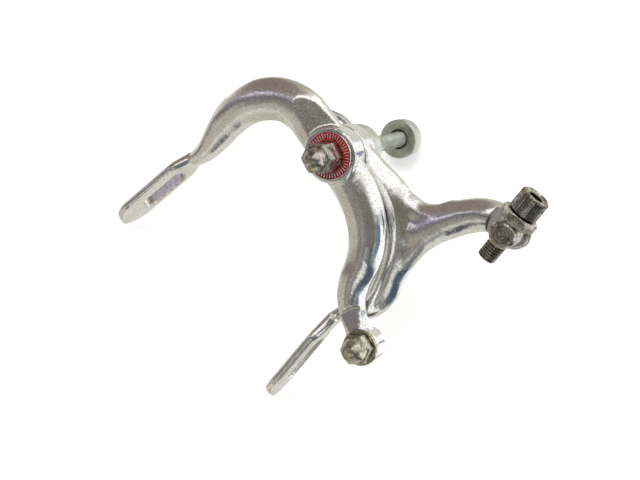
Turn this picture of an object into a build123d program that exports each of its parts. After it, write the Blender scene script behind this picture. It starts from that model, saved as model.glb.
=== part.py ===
"""Single-pivot side-pull rim brake caliper, long reach, for a bicycle.

Millimetres. X is across the bicycle, positive to the right seen from the front. +Y runs back
along the pivot bolt, towards the fork crown, and +Z is up. The origin is on the pivot axis, in the
seat face that bears on the crown. The arms stand fully open, as the return spring leaves them.
"""
from build123d import *
import math
import os
from collections import namedtuple

# ------------------------------------------------------------------ driving dimensions
# pivot stack, from the crown seat forwards
bolt_d = 6.0                 # M6 pivot bolt
block_d = 18.0
block_t = 8.0
shim_t = 0.5                 # thrust washers beside the rear arm
boss_d = 20.0
boss_t = 8.6                 # both arm bosses
ring_d = 17.0
ring_t = 0.8
pivot_nut_af = 10.0          # across flats
adjusting_nut_t = 4.5
acorn_hex_t = 6.3
acorn_dome_d = 8.3
nut_roll = 15.0              # a corner of each pivot nut, from +X
bolt_past_seat = 48.2        # bolt length behind the seat

# hardware behind the crown
crown_t = 36.8               # seat to the round spacer
spacer_d = 15.0
spacer_t = 3.6
rear_washer_d = 14.6
rear_washer_t = 2.7
mounting_nut_t = 4.2

# front arm: span and drop of the bow that goes round the tyre
bow_side = 37.0              # pivot to the middle of the bow's side
bow_depth = 9.0              # front to back
bow_width = 16.0             # at the shoulder
neck_width = 5.0             # where bow and branch run into the pad plates
neck_depth = 5.6
plate_y = -15.8              # middle of both pad plates
plate_w = 13.4               # front to back
plate_t = 4.4
slot_w = 6.3                 # for an M6 shoe post
left_slot = (-53.0, -74.5)   # heights of the slot's two ends
right_slot = (-53.0, -73.5)
plate_past_slot = 11.5       # left plate; the right one ends right_plate_short sooner
right_plate_short = 1.2
left_plate_out = 3.2         # left plate's middle outside the bow's side, at plate_ref_z
right_plate_x = 42.7         # pivot to the right plate's middle, at plate_ref_z
plate_ref_z = -66.0
plate_flare = 5.8            # degrees that both open plates lean outwards
left_plate_turn = 18.0       # degrees about the plate's own length
right_plate_turn = 2.0

# cable anchor on the front arm
anchor_x, anchor_z = 56.6, -38.4
anchor_eye_d = 12.6
anchor_eye_t = 8.2
anchor_bolt_d = 6.0
anchor_washer_d = 13.2
anchor_washer_t = 1.2
anchor_nut_af = 10.0
anchor_hex_t = 4.4
anchor_dome_d = 9.2
anchor_roll = 9.0            # a corner of the anchor nut, from +X
anchor_head_af = 8.0
anchor_head_t = 3.0
cable_hole_d = 2.0
cable_depth = 0.3            # middle of the cable's hole behind the eye's front face

# cable adjuster on the rear arm
eye_x, eye_z = 61.4, 29.0
eye_d = 14.0
eye_t = 6.6
spotface_d = 19.0
swivel_d = 10.0
swivel_pin_d = 6.0
screw_d = 7.0
screw_lean = 7.3             # degrees the screw leans inwards from upright
screw_to_face = 4.9          # screw axis to the swivel's front face
screw_below = 11.3           # screw end below the swivel axis
locknut_af = 12.1
locknut_t = 3.9
locknut_turn = 37.0          # its corner, from straight back
knob_d = 10.8
knob_t = 8.0
flutes = 30
flute_r = 0.32
socket_d = 5.2               # takes 5 mm cable housing
socket_depth = 4.5
wire_hole_d = 2.2
clip_d = 9.0
clip_t = 0.8

# return spring
wire_d = 2.4
spring_y = -4.4
tunnel_wall = 0.16           # metal left between the spring's tunnel and the bore
spring_elbow_z = -12.2       # where each leg turns down
spring_drop = -23.0          # height of the legs' ends
spring_splay = 3.2           # sideways run of a leg below its elbow
left_leg_in = 1.0            # the left leg's end, inside the middle of the bow's side
right_reach = 38.6
left_leg_forward = 6.5       # the left leg comes forward to the front arm
lug_d = 4.0
lug_z = -19.0

# fits
running = 0.05               # radial clearance of what turns or slides
snug = 0.02                  # radial clearance of what stays put
face_gap = 0.05              # axial clearance beside what turns

# ------------------------------------------------------------------ places that follow
block_front = -block_t
rear_boss_back = block_front - shim_t - face_gap
rear_boss_front = rear_boss_back - boss_t
front_boss_back = rear_boss_front - shim_t - 2 * face_gap
front_boss_front = front_boss_back - boss_t
ring_front = front_boss_front - face_gap - ring_t
locking_front = ring_front - adjusting_nut_t
acorn_front = locking_front - acorn_hex_t
rear_arm_y = (rear_boss_back + rear_boss_front) / 2
front_arm_y = (front_boss_back + front_boss_front) / 2

left_plate_x = bow_side + left_plate_out
left_reach = bow_side - left_leg_in
spring_z = bolt_d / 2 + wire_d / 2 + 2 * snug + tunnel_wall

anchor_eye_back = front_boss_back
anchor_eye_front = anchor_eye_back - anchor_eye_t
anchor_nut_back = anchor_eye_front - anchor_washer_t

eye_back = rear_boss_back
eye_front = eye_back - eye_t
locknut_r = locknut_af / math.sqrt(3)
screw_y = eye_front - 0.2 - locknut_r
swivel_front = screw_y - screw_to_face

Y_BACK = Vector(0, 1, 0)


# ------------------------------------------------------------------ shapes used again
def on_axis(y, x=0.0, z=0.0, roll=0.0):
    """A plane across the pivot direction at y, its normal pointing back, turned by roll degrees."""
    side = Vector(math.cos(math.radians(roll)), 0, math.sin(math.radians(roll)))
    return Plane(origin=(x, y, z), x_dir=side, z_dir=Y_BACK)


def disc(y_front, thickness, diameter, x=0.0, z=0.0, edge=0.0):
    """A round plate along Y with both rims bevelled."""
    solid = extrude(on_axis(y_front, x, z) * Circle(diameter / 2), thickness)
    if edge:
        solid = chamfer(solid.edges(), edge)
    return solid


def ring(y_front, thickness, outer, hole, x=0.0, z=0.0, edge=0.2):
    """A washer along Y with its outer rims bevelled."""
    blank = disc(y_front, thickness, outer, x, z, edge)
    return blank - disc(y_front - 1, thickness + 2, hole, x, z)


def hexagon(y_front, thickness, across_flats, x=0.0, z=0.0, roll=0.0):
    """A hexagon along Y, its corners turned off at 30 degrees at both ends."""
    corner_r = across_flats / math.sqrt(3)
    blank = extrude(on_axis(y_front, x, z, roll) * RegularPolygon(corner_r, 6), thickness)
    flat_r = across_flats / 2
    run = (corner_r - flat_r + 0.2) * math.tan(math.radians(30))
    half = Polyline((0, 0), (flat_r - 0.2, 0), (corner_r, run), (corner_r, thickness - run),
                    (flat_r - 0.2, thickness), (0, thickness), close=True)
    turned = revolve(make_face(half), Axis.Y)
    return blank & Pos(x, y_front, z) * turned


def acorn_nut(y_back, across_flats, hex_t, bore_d, dome_d, x=0.0, z=0.0, roll=0.0):
    """A domed nut whose hexagon starts at y_back and whose blind bore opens backwards."""
    front = y_back - hex_t
    nut = hexagon(front, hex_t, across_flats, x, z, roll)
    ball = Pos(x, front, z) * Sphere(dome_d / 2)
    nut += ball & disc(front - dome_d, dome_d + 1, dome_d + 2, x, z)
    return nut - disc(front - 1.0, hex_t + 2.0, bore_d, x, z)


Station = namedtuple("Station", "x z width y depth heading turn", defaults=(0.0,))


def forging(stations):
    """A forged limb: crowned, elliptical sections lofted through stations in the arm's plane.

    Each station gives its middle, its width in the plane of the arm, its depth front to back, its
    heading in degrees from +X, and how far it is turned about its own heading.
    """
    sections = []
    for s in stations:
        way = Vector(math.cos(math.radians(s.heading)), 0, math.sin(math.radians(s.heading)))
        across = way.cross(Y_BACK).rotate(Axis((0, 0, 0), way), s.turn)
        plane = Plane(origin=(s.x, s.y, s.z), x_dir=across, z_dir=way)
        sections.append(plane * Ellipse(s.width / 2, s.depth / 2))
    return loft(sections)


def plate_frame(side, x_at_ref, turn):
    """The plane of a pad plate: x down its length, normal out of its face on the +X side."""
    lean = math.radians(plate_flare)
    down = Vector(side * math.sin(lean), 0, -math.cos(lean))
    flat = Vector(math.cos(lean), 0, side * math.sin(lean))
    outward = flat.rotate(Axis((0, 0, 0), down), turn)
    return Plane(origin=(side * x_at_ref, plate_y, plate_ref_z), x_dir=down, z_dir=outward)


def pad_plate(frame, slot_ends, neck_z, past_slot):
    """A pad plate with a round end, flaring from the neck, and its slot for the shoe's post."""
    top, bottom = (plate_ref_z - slot_ends[0], plate_ref_z - slot_ends[1])
    neck = plate_ref_z - neck_z
    end = bottom + past_slot - plate_w / 2
    half, thin = plate_w / 2, neck_depth / 2
    flare_end = top + 1.0
    outline = make_face([
        Line((neck, -thin), (neck, thin)),
        Bezier((neck, thin), (neck + 4, thin), (flare_end - 7, half), (flare_end, half)),
        Line((flare_end, half), (end, half)),
        ThreePointArc((end, half), (end + half, 0), (end, -half)),
        Line((end, -half), (flare_end, -half)),
        Bezier((flare_end, -half), (flare_end - 7, -half), (neck + 4, -thin), (neck, -thin)),
    ])
    blank = extrude(frame * outline, plate_t / 2, both=True)
    faces = blank.faces().filter_by(Axis(frame.origin, frame.z_dir))
    blank = chamfer(faces.edges(), 0.7)
    middle = (top + bottom) / 2
    window = frame * Pos(middle, 0) * SlotOverall(bottom - top, slot_w)
    return blank, extrude(window, plate_t, both=True)


# ------------------------------------------------------------------ the arms
def front_arm():
    """The front arm: bow and pad plate to the left, cable limb to the right."""
    y = front_arm_y
    drop = (plate_y - y)
    side = bow_side
    bow = forging([
        Station(-1.3, 0.4, bow_width + 1.0, y, boss_t - 0.5, 180),
        Station(-0.311 * side, 1.35, bow_width + 0.8, y, bow_depth - 0.7, 176),
        Station(-0.514 * side, 1.65, bow_width + 0.6, y, bow_depth - 0.2, 188),
        Station(-0.724 * side, -1.15, bow_width, y, bow_depth, 213),
        Station(-0.881 * side, -7.1, bow_width - 0.4, y, bow_depth, 237),
        Station(-0.978 * side, -15.3, bow_width - 1.4, y + 0.15 * drop, bow_depth - 0.2, 256),
        Station(-1.004 * side, -24.0, bow_width - 2.6, y + 0.35 * drop, bow_depth - 0.6, 268),
        Station(-0.989 * side, -32.5, bow_width - 5.0, y + 0.6 * drop, bow_depth - 1.0, 274),
        Station(3.8 - left_plate_x, -40.0, bow_width - 7.9, y + 0.8 * drop, bow_depth - 1.4, 268,
                0.5 * left_plate_turn),
        Station(2.7 - left_plate_x, -46.8, neck_width - 0.2, plate_y, bow_depth - 1.2, 264,
                left_plate_turn),
    ])
    limb = forging([
        Station(2.1, -0.6, 16.4, y, boss_t - 0.7, -12),
        Station(14.4, -2.6, 16.0, y, boss_t - 0.3, -20),
        Station(23.4, -6.2, 15.2, y, boss_t, -32),
        Station(30.2, -11.6, 14.2, y, boss_t, -47),
        Station(34.6, -18.2, 13.0, y, boss_t, -59),
        Station(37.3, -25.0, 12.0, y, boss_t, -62),
        Station(41.0, -30.6, 10.9, y, boss_t, -50),
        Station(45.6, -34.0, 9.9, y, boss_t, -31),
        Station(50.6, -36.3, 9.8, y, boss_t - 0.2, -22),
        Station(anchor_x - 1.0, anchor_z + 0.3, anchor_eye_d - 1.6, y, anchor_eye_t, -16),
    ])
    frame = plate_frame(-1, left_plate_x, left_plate_turn)
    plate, slot = pad_plate(frame, left_slot, -42.0, plate_past_slot)
    boss = disc(front_boss_front, boss_t, boss_d, edge=0.6)
    eye = disc(anchor_eye_front, anchor_eye_t, anchor_eye_d, anchor_x, anchor_z, edge=0.5)
    arm = boss + bow + limb + plate + eye + spring_lug(-1, y + bow_depth / 2)
    arm -= slot
    arm -= disc(anchor_eye_front - 2, 2, anchor_washer_d + 0.4, anchor_x, anchor_z)
    arm -= disc(anchor_eye_back, 2, anchor_eye_d, anchor_x, anchor_z)
    arm -= extrude(cable_plane() * Circle(cable_hole_d / 2), 20, both=True)
    arm -= disc(front_boss_front - 1, boss_t + 2, bolt_d + 2 * running)
    arm -= disc(anchor_eye_front - 1, anchor_eye_t + 4, anchor_bolt_d + 2 * running, anchor_x, anchor_z)
    arm -= disc(front_boss_front - 3, 3, boss_d + 1.0)
    return arm - disc(front_boss_back, 3, boss_d + 1.0)


def rear_arm():
    """The rear arm: a web that forks into the adjuster's branch and the right pad's branch."""
    y = rear_arm_y
    web = forging([
        Station(3.0, 0.8, 16.4, y, boss_t - 0.5, 2),
        Station(14.0, 1.6, 15.2, y, boss_t - 0.3, 0),
        Station(24.1, 1.4, 16.3, y, boss_t - 0.1, -12),
        Station(32.6, -2.6, 15.6, y, boss_t, -34),
        Station(38.6, -8.0, 13.9, y, boss_t, -55),
        Station(42.4, -14.6, 11.9, y, boss_t, -66),
        Station(45.5, -22.4, 11.1, y, boss_t - 0.2, -76),
        Station(46.5, -29.6, 10.0, y, boss_t - 0.6, -101),
        Station(44.2, -36.2, 7.8, y, boss_t - 1.0, -118),
        Station(40.9, -42.0, 5.6, y - 0.4, boss_t - 1.4, -108),
        Station(40.9, -47.6, neck_width - 0.2, y - 1.6, boss_t - 0.8, -86),
    ])
    branch = forging([
        Station(37.4, -4.6, 11.4, y, boss_t - 0.8, 66),
        Station(40.7, 4.0, 12.4, y, boss_t - 0.2, 68),
        Station(43.8, 12.6, 12.9, y, boss_t - 0.2, 66),
        Station(47.4, 19.8, 12.4, y, boss_t, 58),
        Station(52.4, 25.6, 12.0, y, boss_t, 40),
        Station(eye_x - 1.0, eye_z - 0.2, 12.6, y + 0.6, boss_t - 1.4, 20),
    ])
    crotch = forging([
        Station(23.0, 3.4, 9.0, y, boss_t - 0.5, 3),
        Station(29.7, 5.2, 9.4, y, boss_t - 0.5, 2),
        Station(35.3, 6.5, 9.4, y, boss_t - 0.5, 28),
        Station(40.1, 11.0, 9.4, y, boss_t - 0.5, 55),
        Station(43.1, 16.9, 9.0, y, boss_t - 0.5, 62),
        Station(47.4, 21.1, 8.0, y, boss_t - 1.0, 50),
    ])
    heel = forging([
        Station(45.8, 9.6, 5.0, y, boss_t - 1.2, -112),
        Station(43.4, 2.2, 6.2, y, boss_t - 0.6, -104),
        Station(42.8, -2.5, 6.2, y, boss_t - 0.4, -89),
        Station(43.7, -8.1, 6.0, y, boss_t - 0.6, -76),
        Station(44.3, -13.2, 5.4, y, boss_t - 1.2, -70),
    ])
    frame = plate_frame(1, right_plate_x, right_plate_turn)
    plate, slot = pad_plate(frame, right_slot, -43.0, plate_past_slot - right_plate_short)
    boss = disc(rear_boss_front, boss_t, boss_d, edge=0.6)
    eye = disc(eye_front, eye_t, eye_d, eye_x, eye_z, edge=0.6)
    arm = boss + web + branch + crotch + heel + plate + eye + spring_lug(1, rear_boss_back)
    arm -= slot
    arm -= disc(eye_front - 6, 6, spotface_d, eye_x, eye_z)
    arm -= disc(rear_boss_front - 1, boss_t + 2, bolt_d + 2 * running)
    arm -= disc(eye_front - 1, eye_t + 2, swivel_pin_d + 2 * running, eye_x, eye_z)
    arm -= disc(rear_boss_front - 3, 3, boss_d + 1.0)
    return arm - disc(rear_boss_back, 3, boss_d + 1.0)


def leg_y(side):
    """The depth at which a spring leg meets its lug."""
    return spring_y if side > 0 else spring_y - left_leg_forward


def leg_reach(side):
    """Sideways distance from the pivot to the end of a spring leg."""
    return right_reach if side > 0 else left_reach


def lug_x(side):
    """Sideways place of a spring lug, just outside the leg that presses on it."""
    below = (lug_z - spring_drop) / (spring_elbow_z - spring_drop)
    leg = leg_reach(side) - spring_splay * below
    return side * (leg + wire_d / 2 + lug_d / 2 + 0.2)


def lug_back(side):
    """How far back a spring lug stands."""
    return leg_y(side) + wire_d / 2 + 1.2


def spring_lug(side, arm_back):
    """The round lug that stands back from an arm, root sunk 2 mm into it."""
    front = arm_back - 2.0
    return disc(front, lug_back(side) - front, lug_d, lug_x(side), lug_z, edge=0.4)


def return_spring():
    """The bow spring: through the block, out over both arms and down to the lugs."""
    def leg(side):
        y_end = leg_y(side)
        y_mid = (spring_y + y_end) / 2
        reach = leg_reach(side)
        return [(side * (block_d / 2 + 2), spring_y, spring_z),
                (side * (reach - spring_splay - 8.5), y_mid, spring_z - 5.2),
                (side * (reach - spring_splay), y_end, spring_elbow_z),
                (side * reach, y_end, spring_drop)]

    points = leg(-1)[::-1] + leg(1)
    path = FilletPolyline(*points, radius=5.0)
    start = Plane(origin=path @ 0, z_dir=path % 0)
    return sweep(start * Circle(wire_d / 2), path=path)


# ------------------------------------------------------------------ pivot stack
def pivot_bolt():
    """The through bolt, threaded at both ends, with bevelled tips and a relief before each thread."""
    front = acorn_front + 0.6
    length = bolt_past_seat - front
    bolt = disc(front, length, bolt_d, edge=0.7)
    for y in (ring_front + 1.0, crown_t - 6.5):
        groove = disc(y, 1.0, bolt_d + 1) - disc(y, 1.0, bolt_d - 0.7)
        bolt -= groove
    return bolt


def spring_block():
    """The round block behind the arms that seats on the crown and holds the spring."""
    block = ring(block_front, block_t, block_d, bolt_d + 2 * snug, edge=0.5)
    tunnel = Plane(origin=(-block_d, spring_y, spring_z), x_dir=(0, 1, 0), z_dir=(1, 0, 0))
    return block - extrude(tunnel * Circle(wire_d / 2 + snug), 2 * block_d)


def ring_washer():
    """The name-less front washer, with a shallow channel for the red enamel."""
    washer = ring(ring_front, ring_t, ring_d, bolt_d + 2 * snug, edge=0.15)
    channel = disc(ring_front, 0.15, ring_d - 1.0) - disc(ring_front, 0.15, pivot_nut_af + 0.4)
    return washer - channel


def adjusting_nut():
    """The thin nut that sets the arms' play."""
    return hexagon(locking_front, adjusting_nut_t, pivot_nut_af, roll=nut_roll) - disc(
        locking_front - 1, adjusting_nut_t + 2, bolt_d + 2 * snug)


def mounting_nut():
    """The nut behind the crown."""
    start = crown_t + spacer_t + rear_washer_t
    return hexagon(start, mounting_nut_t, pivot_nut_af, roll=nut_roll) - disc(
        start - 1, mounting_nut_t + 2, bolt_d + 2 * snug)


def crown_spacer():
    """The thick round spacer, with a clearance hole and a turned rim."""
    return ring(crown_t, spacer_t, spacer_d, bolt_d + 1.2, edge=0.35)


# ------------------------------------------------------------------ cable anchor
def cable_plane():
    """A plane across the cable where it passes the anchor, its normal up to the adjuster."""
    way = Vector(eye_x - anchor_x, 0, eye_z - anchor_z).normalized()
    start = Vector(anchor_x, anchor_eye_front + cable_depth, anchor_z)
    return Plane(origin=start, x_dir=Y_BACK, z_dir=way)


def anchor_bolt():
    """The pinch bolt: hexagonal head behind the arm, shank, and the cross hole for the cable."""
    head_front = anchor_eye_back + face_gap
    head = hexagon(head_front, anchor_head_t, anchor_head_af, anchor_x, anchor_z)
    tip = anchor_nut_back - anchor_hex_t - 0.4
    shank = disc(tip, head_front - tip + 1, anchor_bolt_d, anchor_x, anchor_z, edge=0.5)
    return head + shank - extrude(cable_plane() * Circle(cable_hole_d / 2), anchor_bolt_d,
                                  both=True)


# ------------------------------------------------------------------ cable adjuster
def screw_plane(above=0.0):
    """A plane across the adjuster screw, at a distance above the swivel's axis."""
    lean = math.radians(screw_lean)
    way = Vector(-math.sin(lean), 0, math.cos(lean))
    start = Vector(eye_x, screw_y, eye_z) + way * above
    return Plane(origin=start, x_dir=Y_BACK, z_dir=way)


def swivel():
    """The swivel: a round block across the screw, and the pin that turns in the arm's eye."""
    body_back = eye_front - face_gap
    blank = disc(swivel_front, body_back - swivel_front, swivel_d, eye_x, eye_z)
    rims = blank.edges().filter_by(GeomType.CIRCLE).sort_by(Axis.Y)
    blank = fillet(rims[0], 1.5)
    pin_end = eye_back + clip_t + 1.4
    blank += disc(body_back - 1, pin_end - body_back + 1, swivel_pin_d, eye_x, eye_z, edge=0.4)
    groove_y = eye_back + face_gap
    groove = disc(groove_y, clip_t, swivel_pin_d + 1, eye_x, eye_z)
    groove -= disc(groove_y, clip_t, swivel_pin_d - 1.2, eye_x, eye_z)
    bore = extrude(screw_plane() * Circle(screw_d / 2 + running), swivel_d, both=True)
    return blank - groove - bore


def swivel_clip():
    """The E-clip in the pin's groove, open on one side."""
    y = eye_back + face_gap
    clip = ring(y, clip_t, clip_d, swivel_pin_d - 1.2 + 2 * snug, eye_x, eye_z, edge=0.1)
    mouth = on_axis(y - 1, eye_x, eye_z) * Pos(0, -clip_d / 2) * Rectangle(3.6, clip_d)
    return clip - extrude(mouth, clip_t + 2)


def locknut():
    """The locknut between swivel and knob."""
    base = swivel_d / 2 + 0.1
    corner_r = locknut_af / math.sqrt(3)
    plane = screw_plane(base)
    blank = extrude(plane * Rot(0, 0, locknut_turn) * RegularPolygon(corner_r, 6), locknut_t)
    run = (corner_r - locknut_af / 2 + 0.2) * math.tan(math.radians(30))
    flat_r = locknut_af / 2 - 0.2
    half = Plane.XZ * Polyline((0, 0), (flat_r, 0), (corner_r, run), (corner_r, locknut_t - run),
                               (flat_r, locknut_t), (0, locknut_t), close=True)
    turned = revolve(make_face(half), Axis.Z)
    nut = blank & plane.location * turned
    return nut - extrude(screw_plane(base - 1) * Circle(screw_d / 2 + running), locknut_t + 2)


def adjuster_screw():
    """The hollow adjuster: fluted knob with the housing socket, and the threaded shank."""
    knob_base = swivel_d / 2 + 0.1 + locknut_t + 0.1
    top = knob_base + knob_t
    knob = extrude(screw_plane(knob_base) * Circle(knob_d / 2), knob_t)
    rims = knob.edges().filter_by(GeomType.CIRCLE)
    knob = fillet(rims, 0.8)
    start = screw_plane(knob_base + 0.9)
    for place in PolarLocations(knob_d / 2 + 0.12, flutes):
        knob -= extrude(start * place * Circle(flute_r), knob_t - 1.8)
    shank = extrude(screw_plane(-screw_below) * Circle(screw_d / 2), screw_below + knob_base + 1)
    shank = chamfer(shank.edges().filter_by(GeomType.CIRCLE), 0.6)
    screw = knob + shank
    dish = loft([screw_plane(top) * Circle(3.9), screw_plane(top - 0.7) * Circle(3.3)])
    screw -= dish
    screw -= extrude(screw_plane(top - 0.7 - socket_depth) * Circle(socket_d / 2), socket_depth + 1)
    return screw - extrude(screw_plane(-screw_below - 1) * Circle(wire_hole_d / 2), 60)


# ------------------------------------------------------------------ the assembly
PIECES = {
    "pivot_bolt": pivot_bolt,
    "pivot_acorn_nut": lambda: acorn_nut(locking_front, pivot_nut_af, acorn_hex_t,
                                         bolt_d + 2 * snug, acorn_dome_d, roll=nut_roll),
    "adjusting_nut": adjusting_nut,
    "ring_washer": ring_washer,
    "front_arm": front_arm,
    "middle_washer": lambda: ring(rear_boss_front - face_gap - shim_t, shim_t, boss_d - 3,
                                  bolt_d + 2 * snug, edge=0.1),
    "rear_arm": rear_arm,
    "back_washer": lambda: ring(block_front - shim_t, shim_t, boss_d - 3, bolt_d + 2 * snug,
                                edge=0.1),
    "spring_block": spring_block,
    "return_spring": return_spring,
    "crown_spacer": crown_spacer,
    "rear_washer": lambda: ring(crown_t + spacer_t, rear_washer_t, rear_washer_d,
                                bolt_d + 2 * snug, edge=0.3),
    "mounting_nut": mounting_nut,
    "anchor_bolt": anchor_bolt,
    "anchor_washer": lambda: ring(anchor_nut_back, anchor_washer_t, anchor_washer_d,
                                  anchor_bolt_d + 2 * snug, anchor_x, anchor_z, edge=0.5),
    "anchor_acorn_nut": lambda: acorn_nut(anchor_nut_back, anchor_nut_af, anchor_hex_t,
                                          anchor_bolt_d + 2 * snug, anchor_dome_d,
                                          anchor_x, anchor_z, anchor_roll),
    "swivel": swivel,
    "swivel_clip": swivel_clip,
    "adjuster_locknut": locknut,
    "adjuster_screw": adjuster_screw,
}

if __name__ == "__main__":
    os.makedirs("parts", exist_ok=True)
    for name, make in PIECES.items():
        solid = make()
        export_step(solid, f"parts/{name}.step")
        print(f"{name}: {solid.volume:.0f} mm3")
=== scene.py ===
"""Looks for the rim brake caliper: polished arms, aged steel hardware, and the studio round it.

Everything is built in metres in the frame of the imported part. Sizes are written in millimetres and
multiplied by MM where a mesh is made.
"""
from __future__ import annotations

import logging
import math
from dataclasses import dataclass, field
from enum import Enum
from itertools import pairwise
from typing import Iterable, Sequence

import bpy
from mathutils import Matrix, Vector

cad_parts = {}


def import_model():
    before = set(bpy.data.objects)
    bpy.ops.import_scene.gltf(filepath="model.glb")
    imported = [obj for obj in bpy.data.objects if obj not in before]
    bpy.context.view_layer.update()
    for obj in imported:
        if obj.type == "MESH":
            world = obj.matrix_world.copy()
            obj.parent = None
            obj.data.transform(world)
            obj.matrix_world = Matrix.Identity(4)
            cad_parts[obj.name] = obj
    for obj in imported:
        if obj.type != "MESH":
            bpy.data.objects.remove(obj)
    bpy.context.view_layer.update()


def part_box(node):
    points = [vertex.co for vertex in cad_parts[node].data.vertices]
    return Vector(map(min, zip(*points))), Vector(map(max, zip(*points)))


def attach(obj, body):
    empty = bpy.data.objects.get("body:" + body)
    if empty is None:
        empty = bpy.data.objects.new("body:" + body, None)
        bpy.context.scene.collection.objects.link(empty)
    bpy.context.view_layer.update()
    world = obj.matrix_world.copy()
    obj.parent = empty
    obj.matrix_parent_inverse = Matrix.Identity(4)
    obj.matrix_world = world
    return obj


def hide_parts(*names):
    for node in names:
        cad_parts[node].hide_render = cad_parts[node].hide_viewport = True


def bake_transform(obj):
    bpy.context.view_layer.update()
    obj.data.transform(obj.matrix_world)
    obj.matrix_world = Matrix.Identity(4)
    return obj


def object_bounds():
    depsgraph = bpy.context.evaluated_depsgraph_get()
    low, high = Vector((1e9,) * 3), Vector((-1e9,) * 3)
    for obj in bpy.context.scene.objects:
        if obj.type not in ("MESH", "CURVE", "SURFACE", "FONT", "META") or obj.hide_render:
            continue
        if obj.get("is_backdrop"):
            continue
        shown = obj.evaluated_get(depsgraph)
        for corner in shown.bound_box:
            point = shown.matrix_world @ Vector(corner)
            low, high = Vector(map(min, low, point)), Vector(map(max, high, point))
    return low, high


LOG = logging.getLogger("caliper")
MM = 0.001
BACK = Vector((0.0, 1.0, 0.0))
BOLT_BORE = 3.02  # radius of a bore round a 6 mm bolt
CREASE = 28.0  # least angle of an edge that is rounded on turned pieces, in degrees

Socket = bpy.types.NodeSocket
Colour = tuple[float, float, float, float]


class Tone(Enum):
    """Whether a finish is in its usual tone or a paler one."""

    USUAL = "usual"
    PALE = "pale"


class Slot(Enum):
    """The record's material slots."""

    ALLOY = "polished_alloy"
    DARK_STEEL = "dark_steel"
    ZINC = "zinc_steel"
    ENAMEL = "red_enamel"
    WIRE = "spring_wire"


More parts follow.
